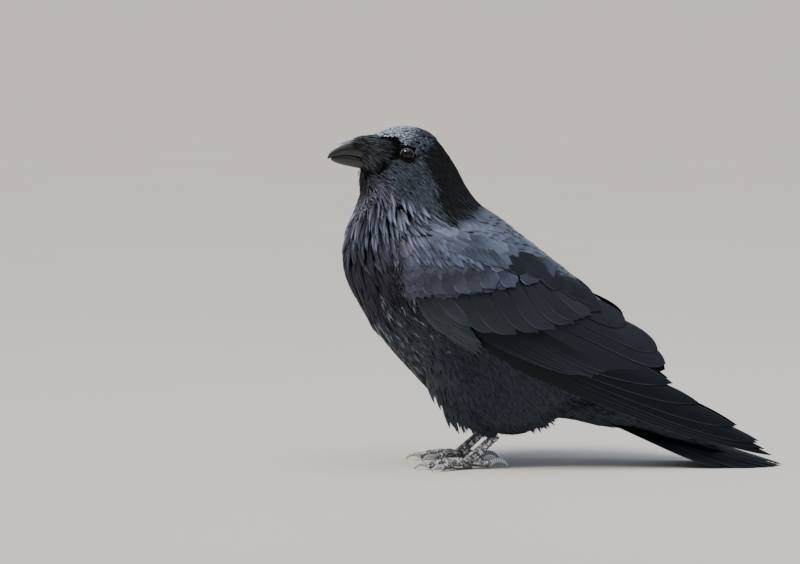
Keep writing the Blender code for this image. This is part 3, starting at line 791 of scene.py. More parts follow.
def skin_finish():
    """Bird skin: thin, dark grey, finely goose-bumped at the feather roots, 2 mm apart."""
    made = Finish("skin_dark_grey", Roughness=0.85, Specular_IOR_Level=0.15)
    place = made.add("TexCoord")["Object"]
    bumps = made.add("TexVoronoi", {"Vector": place, "Scale": 500.0})["Distance"]
    tone = made.smooth(bumps, 0.0, 0.9)
    return made.coats(linear("#040404"), (tone, "#020202"), bump=(tone, 0.4, 0.0004))


def lid_finish():
    """Bare lid edge: grey leathery skin, paler on its rim, in fine beads 0.5 mm apart."""
    made = Finish("skin_eyelid", Roughness=0.5)
    beads = made.noise(1400.0, 2.0)
    bead_tone = made.smooth(beads, 0.3, 0.7, 0.5, 1.0)
    pale = made.times(made.lay()[0], bead_tone)
    return made.coats(linear("#08080a"), (pale, "#a0a4ac"), bump=(beads, 0.5, 0.0003))


def eye_finish():
    """Wet cornea over a dark brown iris and a black pupil, drawn by the angle from the eye's axis.

    The first number of the lay is that angle over pi: the pupil ends at 0.12 and the iris at 0.24.
    """
    made = Finish("eye_wet", Roughness=0.05, IOR=1.38)
    angle, turn, _ = made.lay()
    spokes = made.add("CombineXYZ", [made.times(turn, 30.0), angle])[0]
    streaks = made.add("TexNoise", {"Vector": spokes, "Scale": 3.0})[0]
    pupil = made.smooth(angle, 0.118, 0.128, 1.0, 0.0)
    outside = made.smooth(angle, 0.23, 0.25)
    return made.coats(linear("#0b0807"), (streaks, "#17110d"), (pupil, "#020202"), (outside, "#080607"))


def bill_finish():
    """Bill horn: black keratin, smoothed by wear, with fine lengthwise grain and scuffs; browner below as
    painted light bounced from the ground, and a painted highlight along the ridge near the tip.
    """
    made = Finish("bill_keratin", IOR=1.54, Coat_Weight=0.15, Coat_Roughness=0.2)
    # The first number is painted light bounced up from the ground, the third a painted highlight on the
    # ridge.
    brown, _, painted_highlight = made.lay()
    place = made.add("TexCoord")["Object"]
    stretched = made.add("Mapping", {"Vector": place, "Scale": (60.0, 500.0, 500.0)})[0]
    grain = made.add("TexNoise", {"Vector": stretched, "Scale": 1.0, "Detail": 4.0})[0]
    blotch = made.noise(160.0, 3.0)
    painted_ground_bounce = made.times(brown, 0.7)
    scuffs = made.smooth(blotch, 0.5, 0.75, 0.0, 0.3)
    return made.coats(linear("#070707"), (grain, "#120f0a"), (painted_ground_bounce, "#1a120a"), (scuffs, "#1c1b19"),
                      (painted_highlight, "#e2e4e9"), rough=made.times_plus(blotch, 0.1, 0.22),
                      bump=(grain, 0.25, 0.0003))


def scale_finish():
    """Leg scutes: horny plates, black in the joints, grey and glossy on their faces, palest at their middles
    and flecked pale; the pale is partly dust and partly painted highlight.
    """
    made = Finish("scute_horn", IOR=1.5)
    plate = made.lay()[0]
    dust = made.noise(380.0, 4.0)
    # Paler towards each plate's middle: the plates' own grey with a painted highlight.
    face = made.add("Math", [plate, 1.6], operation="POWER")[0]
    # Pale flecks on the plates: partly dust, partly painted highlight.
    dust_and_highlight = made.smooth(dust, 0.48, 0.62)
    dust_and_highlight = made.times(plate, dust_and_highlight)
    return made.coats(linear("#0a0a0c"), (face, "#606167"), (dust_and_highlight, "#d8d9dc"),
                      rough=made.times_plus(dust, 0.3, 0.3),
                      bump=(dust, 0.35, 0.0003))


def claw_finish():
    """Claw horn: grey black, polished by wear, with growth lines round it about 1.5 mm apart."""
    made = Finish("claw_horn", IOR=1.54)
    share = made.lay()[0]
    phase = made.times(share, 90.0)
    lines = made.add("Math", [phase], operation="SINE")[0]
    pale = made.smooth(lines, -1.0, 1.0)
    end = made.smooth(share, 0.75, 1.0, 0.0, 0.6)
    rough = made.smooth(lines, -1.0, 1.0, 0.16, 0.24)
    # The grey base and the near-white growth lines are much paler than black horn: partly painted highlight,
    # standing in for the claw's gloss.
    return made.coats(linear("#565a62"), (pale, "#d8dde4"), (end, "#55565c"), rough=rough,
                      bump=(lines, 0.15, 0.0002))


# ---------------------------------------------------------------- skin

VOXEL = 2.2 * MM
# How deep the skin lies under the plumage: at rows of BODY, at rows of THIGH, outside and inside an arm.
BODY_DEPTH = ((0, 1, 4, 6, 9, 17, 20), (1.6, 1.8, 2.2, 4.5, 6.0, 5.0, 4.0))
THIGH_DEPTH = ((0, 4, 5), (5, 4, 2.2))
ARM_DEPTH = (5.5, 9.5)


def skin():
    """One skin for head, neck, trunk, shanks, wings' arms and tail's root, under the feathers.

    It is the union of smaller forms, each inside its plumage by the coat's depth, remeshed whole.
    """
    place, angle = grid(0.0, 20.0, 120)
    forms = [body(place, angle, -np.interp(place, *BODY_DEPTH))]
    place, angle = grid(0.3, 5.0, 40)
    forms += [thigh(side, place, angle, -np.interp(place, *THIGH_DEPTH)) for side in FEET]
    place, turn = grid(0.4, 8.5, 60)
    arm = wing(WING_ARM, place, 0.46 - 0.4 * np.cos(turn), np.where(np.sin(turn) > 0, *ARM_DEPTH))
    forms += [arm * (1, -side, 1) for side in (LEFT, RIGHT)]
    place, angle = grid(1.7, 4.0, 30)
    forms.append(mandible(NASAL_TUFT, place, angle, True, -1.6))
    made = new_object("skin", *joined(forms), skin_finish())
    remesh = made.modifiers.new("one_skin", "REMESH")
    remesh.mode = "VOXEL"
    remesh.voxel_size = VOXEL
    remesh.use_smooth_shade = True
    graph = bpy.context.evaluated_depsgraph_get()
    whole = bpy.data.meshes.new_from_object(made.evaluated_get(graph))
    made.modifiers.clear()
    made.data = whole
    settle(made, "plumage", "head", "neck", "trunk", "thigh_left", "thigh_right", "wing_left",
           "wing_right", "tail", "nasal_bristles")


# ---------------------------------------------------------------- eyes, bill, legs

EYE_AXIS = (-0.22, 1.0, 0.04)  # before the head turns
EYEBALL_RADIUS, CORNEA_BULGE = 7.45, 0.5
LID_RADIUS, LID_HEIGHT = 6.3, 4.2  # the lid's ring round the eye's axis, and its height over the centre
TARSUS_SCUTES, SCUTE_LENGTH, PAD_LENGTH = 10, 3.1, 12
BARE_SKIN = 0.3  # how pale the ball of the foot is, between a joint and a plate


def eye_frame(side):
    """Centre of an eye and three axes: out of the eye, forward across it, and up."""
    centre = turn_head(np.array([EYE[0], side * EYE_SIDE, EYE[1]]), 0.0)
    out = np.array(EYE_AXIS) * (1, side, 1)
    out = turn_head(out / np.linalg.norm(out) + (TURN_AXIS_X, 0, 0), 0.0) - (TURN_AXIS_X, 0, 0)
    ahead = np.cross(out, (0, 0, 1.0))
    ahead /= np.linalg.norm(ahead)
    return centre, out, ahead, np.cross(ahead, out)


def eyes():
    """Each eye: a ball whose radius grows towards its front by the bulge times exp(-(angle / 0.5)^2)."""
    finish, lid = eye_finish(), lid_finish()
    for side, name in SIDES:
        centre, out, ahead, up = eye_frame(side)
        polar, turn = grid(0.02, math.pi - 0.02, 60, 64)
        radius = EYEBALL_RADIUS + CORNEA_BULGE * np.exp(-((polar / 0.5) ** 2))
        spoke = np.cos(turn)[..., None] * ahead + np.sin(turn)[..., None] * up
        ray = np.cos(polar)[..., None] * out + np.sin(polar)[..., None] * spoke
        made = new_object(f"eyeball_{name}", *joined([centre + radius[..., None] * ray]), finish)
        lay = np.stack([polar / math.pi, 0.5 + 0.5 * np.cos(turn), np.sin(turn)], axis=-1).reshape(-1, 3)
        point_attribute(made, "lay", np.concatenate([lay, [[0, 0, 0], [1, 0, 0]]]))
        settle(made, "eye", f"eye_{name}")
        eyelid(name, lid, centre, out, ahead, up)


def eyelid(name, finish, centre, out, ahead, up):
    """Lid: a ring round the eye, oval, its rim raised and beaded, its skirt spread under the feathers.

    At each turn the section is an ellipse. The ring has small creases sin(26 turn),
    and swells at the front and the back corner of the eye by exp(-(turn / width)^2).
    """
    angle, turn = grid(0.0, WHOLE_TURN * 15 / 16, 16, 160)
    angle, turn = angle.T, turn.T
    spoke = np.cos(turn)[..., None] * ahead + 0.94 * np.sin(turn)[..., None] * up
    corner = 0.5 * np.exp(-(np.minimum(turn, WHOLE_TURN - turn) / 0.35) ** 2)
    corner += 0.9 * np.exp(-(((turn - math.pi) / 0.3) ** 2))
    ring = LID_RADIUS + corner + 0.06 * np.sin(26 * turn) + 0.75 * np.cos(angle)
    height = LID_HEIGHT - 0.55 * np.cos(angle) + 0.65 * np.sin(angle)
    points = (centre + ring[..., None] * spoke + height[..., None] * out).reshape(-1, 3)
    rows, around = angle.shape
    r, k = np.meshgrid(np.arange(rows), np.arange(around), indexing="ij")
    a, b = r * around + k, r * around + (k + 1) % around
    d, c = ((r + 1) % rows) * around + k, ((r + 1) % rows) * around + (k + 1) % around
    faces = np.concatenate([np.stack(v, axis=-1).reshape(-1, 3) for v in ((a, b, c), (a, c, d))])
    made = new_object(f"eyelid_{name}", points, outward(points, faces), finish)
    pale = np.exp(-(((angle - 1.2) / 0.5) ** 2)) * (0.6 - 0.4 * np.sin(turn))
    point_attribute(made, "lay", threefold(pale))
    settle(made, "plumage")


def bill():
    """Both mandibles, finer than their solids, with the cutting edge as a step along each side."""
    finish = bill_finish()
    for name, rows, ridge_up in (("upper", UPPER_MANDIBLE, True), ("lower", LOWER_MANDIBLE, False)):
        share, angle = grid(0.0, 1.0, 90, 64)
        place = share**1.5 * (len(rows) - 1)
        edge = np.cos(angle) * (-1 if ridge_up else 1)
        lip = 0.35 * np.exp(-(((edge - 0.72) / 0.16) ** 2)) * np.abs(np.sin(angle)) * np.clip(place, 0, 1)
        form = mandible(rows, place, angle, ridge_up, lip - 0.15)
        made = new_object(f"mandible_{name}", *joined([form]), finish)
        # Painted light bounced from the ground: browner towards each mandible's underside and on the lower
        # one; painted highlight on the ridge near the tip.
        brown = (0.15 if ridge_up else 0.55) + 0.5 * np.clip(edge, 0, 1) * np.clip(place / 3, 0, 1)
        painted_highlight = np.exp(-place / 2.0) * np.clip(-edge, 0, 1) ** 1.4 * (1.0 if ridge_up else 0.2)
        lay = np.stack([np.clip(brown, 0, 1), edge, painted_highlight], axis=-1).reshape(-1, 3)
        point_attribute(made, "lay", np.concatenate([lay, lay[:2]]))
        settle(made, "bill", f"bill_{name}")


def toe_direction(side, degrees):
    """Level unit vector of a toe."""
    inward = 1 if side == "left" else -1
    turn = math.radians(degrees) - FOOT_TURN
    return np.array([-math.cos(turn), inward * math.sin(turn), 0.0])


def toe_height(toe, u):
    """Height of a toe's middle line: it arches, then comes down on its last pad."""
    _, _, length, thick, _ = toe
    start = BALL_HEIGHT - 1.5
    return start + (thick * 0.86 - start) * u + 2.6 * np.sin(math.pi * u) * (length / 42)


def tube(path, radii_x, radii_y, around, relief=0):
    """Rings across a path that stays in an upright plane; relief adds height by place and angle."""
    tangent = np.gradient(path, axis=0)
    tangent /= np.linalg.norm(tangent, axis=1)[:, None]
    run = path[-1] - path[0]
    side = np.array([-run[1], run[0], 0.0])
    side /= np.linalg.norm(side)
    rise = np.cross(tangent, side)
    angle = np.linspace(0, WHOLE_TURN, around, endpoint=False)
    return (path[:, None] + (np.cos(angle) * (radii_x[:, None] + relief))[..., None] * rise[:, None]
            + (np.sin(angle) * (radii_y[:, None] + relief))[..., None] * side)


def scutes(position, plates, angle):
    """Plates along a limb: high and pale between their joints, on the front two thirds of the limb."""
    phase = (position * plates) % 1.0
    plate = np.clip(2 * np.minimum(phase, 1 - phase) / 0.3, 0, 1)
    front = np.clip((np.cos(angle) + 0.55) / 0.35, 0, 1)
    return plate * front, front


def foot(side, finish):
    """Bare leg and foot of one side: tarsus, ball and four toes, each a closed scaly tube."""
    x, y = FEET[side]
    around = 28
    angle = np.linspace(0, WHOLE_TURN, around, endpoint=False)[None]
    u = np.linspace(0, TARSUS_SHOWN, 120)
    path = np.stack([x + ANKLE_BEHIND * u, y - 0.04 * y * u,
                     BALL_HEIGHT + (ANKLE_HEIGHT - BALL_HEIGHT) * u], axis=1)
    swell = 1 + 0.25 * (1 - u) ** 4 + 0.35 * u**6
    plate, front = scutes(u[:, None], TARSUS_SCUTES, angle + math.pi)
    seam = np.exp(-(((np.abs(np.sin(angle)) - 0.93) / 0.08) ** 2)) * (front < 0.5)
    relief = 0.28 * plate - 0.35 * seam + 0.1 * (front < 0.5)
    bare = [np.maximum(plate, (front < 0.5) * (1 - seam) * 0.75)]
    forms = [tube(path, TARSUS_HALF[0] * swell, TARSUS_HALF[1] * swell, around, relief)]
    for toe in TOES:
        _, degrees, length, thick, _ = toe
        u = np.linspace(0, 1, 90)
        pads = max(2, round(length / PAD_LENGTH))
        path = np.array([x, y, 0.0]) + np.outer(length * u, toe_direction(side, degrees))
        path[:, 2] += toe_height(toe, u)
        radius = thick * (1.05 - 0.18 * u) * (1 + 0.09 * np.cos(WHOLE_TURN * pads * u)) - 0.15
        radius[-5:] *= np.sqrt(np.linspace(1, 0.12, 5))
        plate, front = scutes(u[:, None], round(length / SCUTE_LENGTH), angle)
        warts = 0.12 * np.sin(u[:, None] * length * 2.6) * np.sin(angle * 7) * (front < 0.5)
        bare.append(np.maximum(plate, 0.35 * (front < 0.5)))
        forms.append(tube(path, radius, radius * 0.95, around, 0.25 * plate - 0.1 + warts))
    turn = np.linspace(0.05, math.pi - 0.05, 20)[:, None]
    ball = np.stack(np.broadcast_arrays(np.sin(turn) * np.cos(angle), np.sin(turn) * np.sin(angle),
                                        0.96 * np.cos(turn)), axis=-1)
    forms.append(ball * BALL_RADIUS + (x, y, BALL_MIDDLE))
    bare.append(np.full((20, around), BARE_SKIN))
    points, faces = joined([np.maximum(form, (-np.inf, -np.inf, 0.0)) for form in forms])
    made = new_object(f"scaly_leg_{side}", points, faces, finish)
    lay = np.concatenate([np.append(part, [BARE_SKIN] * 2) for part in bare])
    point_attribute(made, "lay", threefold(lay))
    settle(made, "scales", f"foot_{side}", f"tarsus_{side}")


def claws(side, finish):
    """Four claws of one foot: cones that curve over and down, narrower than they are deep."""
    for toe in TOES:
        name, degrees, reach, thick, length = toe
        ahead = toe_direction(side, degrees)
        start = np.array([*FEET[side], 0.0]) + (reach - 2.0) * ahead
        start[2] = toe_height(toe, 1.0)
        u = np.linspace(0, 1, 50)
        first, last = (42, -82) if name == "hind" else (30, -62)
        bend = np.radians(first + (last - first) * (u[1:] + u[:-1]) / 2)
        run = length * np.concatenate([[0], np.cumsum(np.cos(bend))]) / len(bend)
        rise = length * np.concatenate([[0], np.cumsum(np.sin(bend))]) / len(bend)
        rise += (0.75 - start[2] - rise[-1]) * u
        path = start + np.outer(run, ahead) + np.outer(rise, (0, 0, 1))
        radius = thick * 0.66 * (1 - u) ** 0.75 + 0.3
        rings = np.maximum(tube(path, radius, radius * 0.72, 20), (-np.inf, -np.inf, 0.05))
        made = new_object(f"horn_{name}_{side}", *joined([rings]), finish)
        point_attribute(made, "lay", threefold(np.append(np.repeat(u, 20), [0, 1])))
        settle(made, "claw", f"claw_{name}_{side}")


# ---------------------------------------------------------------- tracts of feathers

HACKLE_SLOPE, CHIN_X = 0.51, -103  # how the top of the throat's hackles sinks backwards from the chin
BEARD_MIDDLE, BEARD_FOOT = 282, 228  # heights between which the hackles' painted gloss fades to painted shade
NEAR_EYE = 8.3  # how far from the eye's axis feathers stay
WING_MARGIN = 13  # how far inside the wing's outline a body feather is left out
TRUNK_CORE = 22  # how far from the middle plane the wings never hide the body
HACKLE_TOP, BEARD_TOP = 293, 304  # heights where the cheek ends and the side hackles start
NEAR_EYE_STEPS = (0.0, 0.35, 0.7, 1.0)
FLAT = {"metric": (1.0, 1.0), "step": 1.5}  # surfaces over x and z, whose parameters are millimetres
HAIR = {"kind": "hair", "camber": 0.5}


def between(ends, share):
    """A value that runs evenly from its first end to its last."""
    return ends[0] + (ends[1] - ends[0]) * share


def strands(locks, spread):
    """Number and angle of each strand that a feather is parted into."""
    return enumerate(np.linspace(-spread, spread, locks) if locks > 1 else [0.0])


def travelled(points):
    """How far each point of a line is along it."""
    return np.concatenate([[0], np.cumsum(np.linalg.norm(np.diff(points, axis=0), axis=1))])


def body_roots(place, share, gap, seed, side, scatter):
    """Staggered rows of roots on one side of the body: rows across it, even steps along each row.

    Place is the first and last table row; share runs from 0 at the back to 1 at the breast.
    """
    rng = np.random.default_rng(seed)
    fine = np.linspace(place[0], place[1], 400)
    travel = travelled(body(fine, np.full(400, side * math.pi * (share[0] + share[1]) / 2)))
    rows = np.interp(np.arange(gap[0] / 2, travel[-1], gap[0]), travel, fine)
    angle = side * math.pi * np.linspace(share[0], share[1], 200)
    a, b = [], []
    for number, at in enumerate(rows):
        travel = travelled(body(np.full(200, at), angle))
        steps = np.arange(gap[1] * (0.25 + 0.5 * (number % 2)), travel[-1], gap[1])
        steps = steps + rng.normal(0, 0.16 * gap[1], len(steps))
        b.append(np.interp(steps, travel, angle))
        a.append(at + rng.normal(0, scatter, len(steps)) * (rows[1] - rows[0]))
    return np.concatenate(a), np.concatenate(b)


def near_eye(a, b, heading, length, metric):
    """True for feathers of the body whose middle line would cross an open eye."""
    hit = np.zeros(len(a), bool)
    for s in NEAR_EYE_STEPS:
        point = body(a + length * s * np.cos(heading) / metric[0],
                     b + length * s * np.sin(heading) / metric[1])
        for side in (LEFT, RIGHT):
            centre, out, _, _ = eye_frame(side)
            off = point - centre
            beside = np.linalg.norm(off - (off @ out)[:, None] * out, axis=1)
            hit |= (beside < NEAR_EYE) & (off @ out > 0)
    return hit


def in_bill(points):
    """True inside the mandibles or the bristles over them."""
    c, s = math.cos(-HEAD_TURN), math.sin(-HEAD_TURN)
    x, y, z = points[:, 0] - TURN_AXIS_X, points[:, 1], points[:, 2]
    x, y = TURN_AXIS_X + x * c - y * s, x * s + y * c
    inside = np.zeros(len(points), bool)
    for rows, slack in ((UPPER_MANDIBLE, 0.5), (LOWER_MANDIBLE, 0.5), (NASAL_TUFT, -3.5)):
        place, *edges = np.array(rows).T
        top, bottom, half = (np.interp(x, place, edge) for edge in edges)
        inside |= ((x > place[0]) & (x < place[-1]) & (np.abs(y) < half + slack)
                   & (z < top + slack) & (z > bottom - slack))
    return inside


def under_wing(points):
    """True well inside the outline of the folded wing, where no body feather is seen."""
    hidden = np.abs(points[:, 1]) > TRUNK_CORE
    for corner in ((1, 1), (-1, 1), (1, -1), (-1, -1)):
        cell = SideView.cell(points[:, [0, 2]] + np.array(corner) * WING_MARGIN)
        hidden &= UNDER_WING[cell]
    return hidden


def tract(coat, place, share, gap, length, half, seed, lift, turn=(0.0, 0.0), locks=1, spread=0.0,
          jitter=0.12, scatter=0.12, keep=None, shade=None, **look):
    """One tract of body feathers on both sides: values run from its first row to its last.

    Turn swings the feathers towards the breast, in radians, from the tract's back to its front.
    With locks above 1 each feather is parted into that many strands that fan out over the spread.
    Keep and shade take each root's row, its share of the way from back to breast, and its place.
    """
    for side in (LEFT, RIGHT):
        a, b = body_roots(place, share, gap, seed + side, side, scatter)
        at = body(a, b)
        kept = ~in_bill(body(a, b, -0.5)) & ~under_wing(at)
        if keep is not None:
            kept &= keep(a, np.abs(b) / math.pi, at)
        a, b, at = a[kept], b[kept], at[kept]
        rng = np.random.default_rng(seed + 10 * side + 50)
        n = len(a)
        way = (a - place[0]) / (place[1] - place[0])
        down = (np.abs(b) / math.pi - share[0]) / (share[1] - share[0])
        pale = np.ones(n) if shade is None else shade(a, np.abs(b) / math.pi, at)
        metric = stretch(body, a, b)
        for lock, fan_out in strands(locks, spread):
            heading = side * (between(turn, down) + fan_out) + rng.normal(0, jitter, n)
            long = between(length, way) * (rng.normal(1, 0.1, n) * (1 - 0.25 * abs(fan_out)))
            wide = between(half, way) * rng.normal(1, 0.1, n)
            on = ~near_eye(a, b, heading, long, metric) if place[0] < 5 else np.ones(n, bool)
            coat.add(body, a[on], b[on], heading[on], long[on], wide[on], seed=seed + lock,
                     lift=(lift + rng.normal(0, 0.15, n))[on], shade=pale[on],
                     metric=(metric[0][on], metric[1][on]), **look)


def scattered(a, q):
    """A fixed chance from 0 to 1 for each root, so that one tract thins out into the next."""
    return np.modf(np.abs(np.sin(913 * a + 577 * q)) * 1000)[0]


def brow(a, q, at):
    """Above the line from the bill's base over the eye, where the crown's feathers start."""
    return (q < np.minimum(0.13 + 0.062 * a, 0.31)) & (scattered(a, q) > (a - 2.9) / 1.5)


def below_brow(a, q, at):
    """Under that line, and in front of the eye or under it, but clear of the gape's bristles; below the gape
    the black lores reach forward under the bill as painted shade.
    """
    under = (q > 0.12 + 0.062 * a) & ((a < 2.1) | (q > 0.36))
    return under & (a < 2.5 - 5.5 * np.maximum(q - 0.5, 0)) & ((at[:, 0] > -91) | (at[:, 2] < 311))


def hackle_line(at, top):
    """Height at each place of a line that sinks backwards from its top over the chin."""
    return top - HACKLE_SLOPE * (at[:, 0] - CHIN_X)


def above_hackles(a, q, at):
    """Above the line from the chin to the foot of the neck, where the throat's hackles start."""
    return at[:, 2] > hackle_line(at, HACKLE_TOP)


def low_dark(a, q, at):
    """The shade of the throat's hackles: their painted gloss, full above the beard's middle, fades to
    painted shade, dark where the beard meets the breast.
    """
    return np.clip((at[:, 2] - BEARD_FOOT) / (BEARD_MIDDLE - BEARD_FOOT), 0.0, 1)


def chin_shade(a, q, at):
    """Painted shadow under the bill: black at the bill, paler back along the chin."""
    return np.clip((a - 0.7) / 1.6, 0, 1)


def head_feathers():
    """Tracts of the head and neck, from the smallest feathers round the bill backwards."""
    lores = Coat("lore_feathers", LORAL, crisp=False)
    tract(lores, (-0.4, 2.5), (0.13, 0.72), (1.2, 1.0), (4.5, 6.0), (0.6, 0.8), 41, -1.4, (-0.3, 0.0),
          kind="hair", rows=4, rise=0.9, camber=0.4, jitter=0.2, keep=below_brow)
    lores.finish_piece()
    crown = Coat("crown_feathers", CROWN)
    small = {"kind": "scale", "rows": 4, "rise": 1.2, "camber": 0.5}
    # The crown's painted glint fades back towards the nape and lower down its sides.
    tract(crown, (-0.4, 4.4), (0.0, 0.4), (1.9, 1.7), (4.0, 6.5), (0.75, 1.0), 11, -0.4, jitter=0.3,
          shade=lambda a, q, at: np.clip((3.3 - a) / 1.6, 0, 1) ** 1.3 * np.clip((0.36 - q) / 0.1, 0.3, 1),
          keep=brow, **small)
    rng = np.random.default_rng(12)
    a, b = rng.uniform(2.6, 5.4, 520), rng.uniform(-1.25, 1.25, 520)
    on = np.abs(b) < 0.35 + 0.5 * (a - 2.5)
    crown.add(bristle_base, a[on], b[on], rng.normal(0, 0.3, on.sum()), 5.0, 0.85, seed=13,
              lift=-0.1, **small)
    crown.finish_piece()
    nape = Coat("nape_feathers", SILKY, crisp=False)
    silk = {"kind": "hair", "rows": 5, "camber": 0.35, "turn": (0.0, -0.3)}
    tract(nape, (3.9, 8.6), (0.0, 0.36), (3.2, 2.0), (12, 20), (1.0, 1.5), 21, -1.0, rise=0.9,
          jitter=0.07, **silk)
    tract(nape, (3.0, 4.4), (0.0, 0.34), (2.4, 1.6), (5, 8), (0.8, 1.0), 22, -1.3, rise=0.7, jitter=0.1,
          keep=lambda a, q, at: scattered(a, q) < (a - 2.9) / 1.1, **silk)
    nape.finish_piece()
    collar = Coat("collar_feathers", COLLAR, crisp=False)
    tract(collar, (7.0, 9.8), (0.08, 0.52), (3.0, 2.0), (15, 18), (0.9, 1.2), 245, -0.8, (-0.1, -0.35),
          rows=6, rise=1.4, keep=lambda a, q, at: scattered(a, q) < (a - 6.8) / 1.6,
          shade=lambda a, q, at: np.clip((a - 7.0) / 1.8, 0.1, 1), **HAIR)
    collar.finish_piece()
    face = Coat("cheek_feathers", CHEEK, crisp=False)
    tract(face, (1.0, 5.9), (0.31, 0.86), (2.4, 1.5), (6, 14), (0.5, 0.75), 31, -0.8, (-0.35, -0.4),
          kind="hair", rows=5, rise=0.9, camber=0.4,
          keep=lambda a, q, at: (a > 2.3 - 5.0 * np.maximum(q - 0.5, 0)) & above_hackles(a, q, at))
    tract(face, (5.4, 8.4), (0.33, 0.62), (3.4, 2.2), (15, 19), (0.8, 1.4), 32, -1.0, (-0.35, -0.35),
          rows=5, rise=1.2, keep=above_hackles, **HAIR)
    face.finish_piece()
    chin = Coat("chin_feathers", CHIN, crisp=False)
    tract(chin, (-0.3, 3.4), (0.8, 1.0), (2.6, 1.9), (8, 15), (0.6, 0.9), 51, -0.6, kind="lance", rows=5,
          rise=2.6, camber=0.5, jitter=0.28, shade=chin_shade)
    soft = {"kind": "hair", "rows": 6, "camber": 0.6}
    tract(chin, (0.8, 3.2), (0.62, 0.88), (3.4, 2.6), (11, 17), (0.5, 0.7), 52, -0.8, (-0.6, -0.2),
          rise=1.8, jitter=0.14, shade=chin_shade, **soft)
    tract(chin, (2.0, 4.6), (0.54, 0.84), (6.0, 3.2), (13, 18), (0.4, 0.55), 53, 0.1, (-0.5, 0.1),
          rise=1.5, jitter=0.16, shade=lambda a, q, at: np.full(len(a), 1.3),
          keep=lambda a, q, at: (at[:, 2] < 306) & (at[:, 0] < -66), **soft)
    chin.finish_piece()
    beard = Coat("throat_hackles", HACKLE)
    long = {"kind": "lance", "rows": 12, "section": "large", "jitter": 0.14, "fray": 0.15,
            "scatter": 0.42, "shade": low_dark}
    tract(beard, (2.6, 8.1), (0.62, 1.0), (13.0, 4.6), (26, 44), (1.9, 2.8), 61, -2.4, rise=5.4,
          camber=2.3, **long)
    tract(beard, (3.0, 8.2), (0.35, 0.68), (11.0, 3.9), (20, 36), (1.9, 3.1), 62, -2.2, (-0.45, 0.1),
          rise=4.2, camber=2.1, keep=lambda a, q, at: at[:, 2] < hackle_line(at, BEARD_TOP), **long)
    beard.finish_piece()


def body_feathers():
    """Tracts of the trunk: mantle, breast, belly, rump and the coverts under the tail."""
    mantle = Coat("mantle_feathers", MANTLE)
    # The mantle's painted sheen fades towards the rump.
    tract(mantle, (7.8, 14.0), (0.0, 0.42), (8.5, 7.0), (20, 32), (5.0, 8.0), 101, -0.2, kind="scale",
          rows=8, section="large", rise=2.0, camber=0.5, jitter=0.06, fray=0.15,
          shade=lambda a, q, at: 0.85 * np.clip((11.4 - a) / 2.0, 0.1, 1))
    mantle.finish_piece()
    breast = Coat("breast_feathers", BREAST)
    tract(breast, (7.4, 11.5), (0.45, 1.0), (7.0, 4.0), (26, 30), (2.2, 2.6), 81, -2.4, (-0.1, 0.0),
          kind="lance", rows=7, rise=3.2, camber=1.0, jitter=0.15, locks=2, spread=0.12, fray=0.4)
    breast.finish_piece()
    belly = Coat("belly_feathers", DOWNY)
    tract(belly, (11.0, 15.8), (0.42, 1.0), (7.5, 4.6), (30, 30), (2.3, 2.6), 91, -3.0, kind="lance",
          rows=7, rise=3.4, camber=0.9, jitter=0.18, locks=3, spread=0.2, fray=0.5)
    belly.finish_piece()
    rump = Coat("rump_feathers", MANTLE)
    # The rump keeps little of the painted sheen.
    tract(rump, (13.6, 19.6), (0.0, 0.5), (9.0, 8.0), (30, 40), (7.0, 8.5), 111, -2.0, kind="scale",
          rows=8, rise=2.0, camber=0.7, jitter=0.08, fray=0.2, shade=lambda a, q, at: np.full(len(a), 0.1))
    rump.finish_piece()
    vent = Coat("undertail_coverts", DOWNY)
    tract(vent, (15.2, 19.8), (0.46, 1.0), (9.0, 5.0), (36, 44), (3.4, 5.0), 121, -2.4, kind="point",
          rows=8, rise=2.6, camber=0.8, jitter=0.1, fray=0.4)
    vent.finish_piece()


def flank_feathers():
    """Flanks: one coat from under the wing down over the shank and the ankle to a ragged fringe."""
    coat = Coat("flank_feathers", DOWNY)
    downy = {"kind": "lance", "rows": 7, "camber": 0.9, "fray": 0.4, "locks": 2, "spread": 0.13}
    for side, name in SIDES:
        form = FLANK_SIDE[name].surface(side)
        patch(coat, form, side, [(-66, 170), (78, 92), (74, 74), (-52, 96)], (8, 5), (26, 24), (2.4, 2.6),
              (-1.05, -0.75), 151, lift=-0.8, rise=2.6, **downy)
        patch(coat, form, side, [(-52, 104), (74, 80), (66, 62), (-30, 62)], (7, 4.4), (22, 20), (2.1, 2.4),
              (-1.15, -0.85), 152, lift=-0.6, rise=2.6, **downy)
        patch(coat, form, side, [(-34, 74), (70, 66), (64, 56), (-4, 52)], (6, 4), (20, 19), (1.6, 2.0),
              (-1.2, -1.0), 153, lift=-0.4, rise=1.6, **downy)
    coat.finish_piece()


def shank_feathers():
    """Short feathers of both shanks, down to where the bare leg starts."""
    coat = Coat("shank_feathers", DOWNY)
    for sign, side in SIDES:
        rng = np.random.default_rng(131 + sign)
        a, b = grid(1.6, 4.3, 9, 30)
        b = b + 0.1 * (np.arange(9) % 2)[:, None]
        a, b = a.ravel() + rng.normal(0, 0.08, a.size), b.ravel() + rng.normal(0, 0.04, a.size)
        long = np.interp(a, [1.6, 3.5, 4.3], [18, 12, 8]) * rng.normal(1, 0.12, len(a))
        coat.add(functools.partial(thigh, side), a, b, rng.normal(0, 0.16, len(a)), long, 1.9,
                 kind="lance", rows=7, lift=-2.0, rise=2.0, fray=0.3, seed=132)
    coat.finish_piece()


def bristle_base(place, angle):
    """Surface of the bristles over the nostrils."""
    return mandible(NASAL_TUFT, place, angle, True)


def gape_base(place, angle):
    """Surface that the bristles along the gape start from."""
    return mandible(BRISTLE_FIELD, place, angle, True)


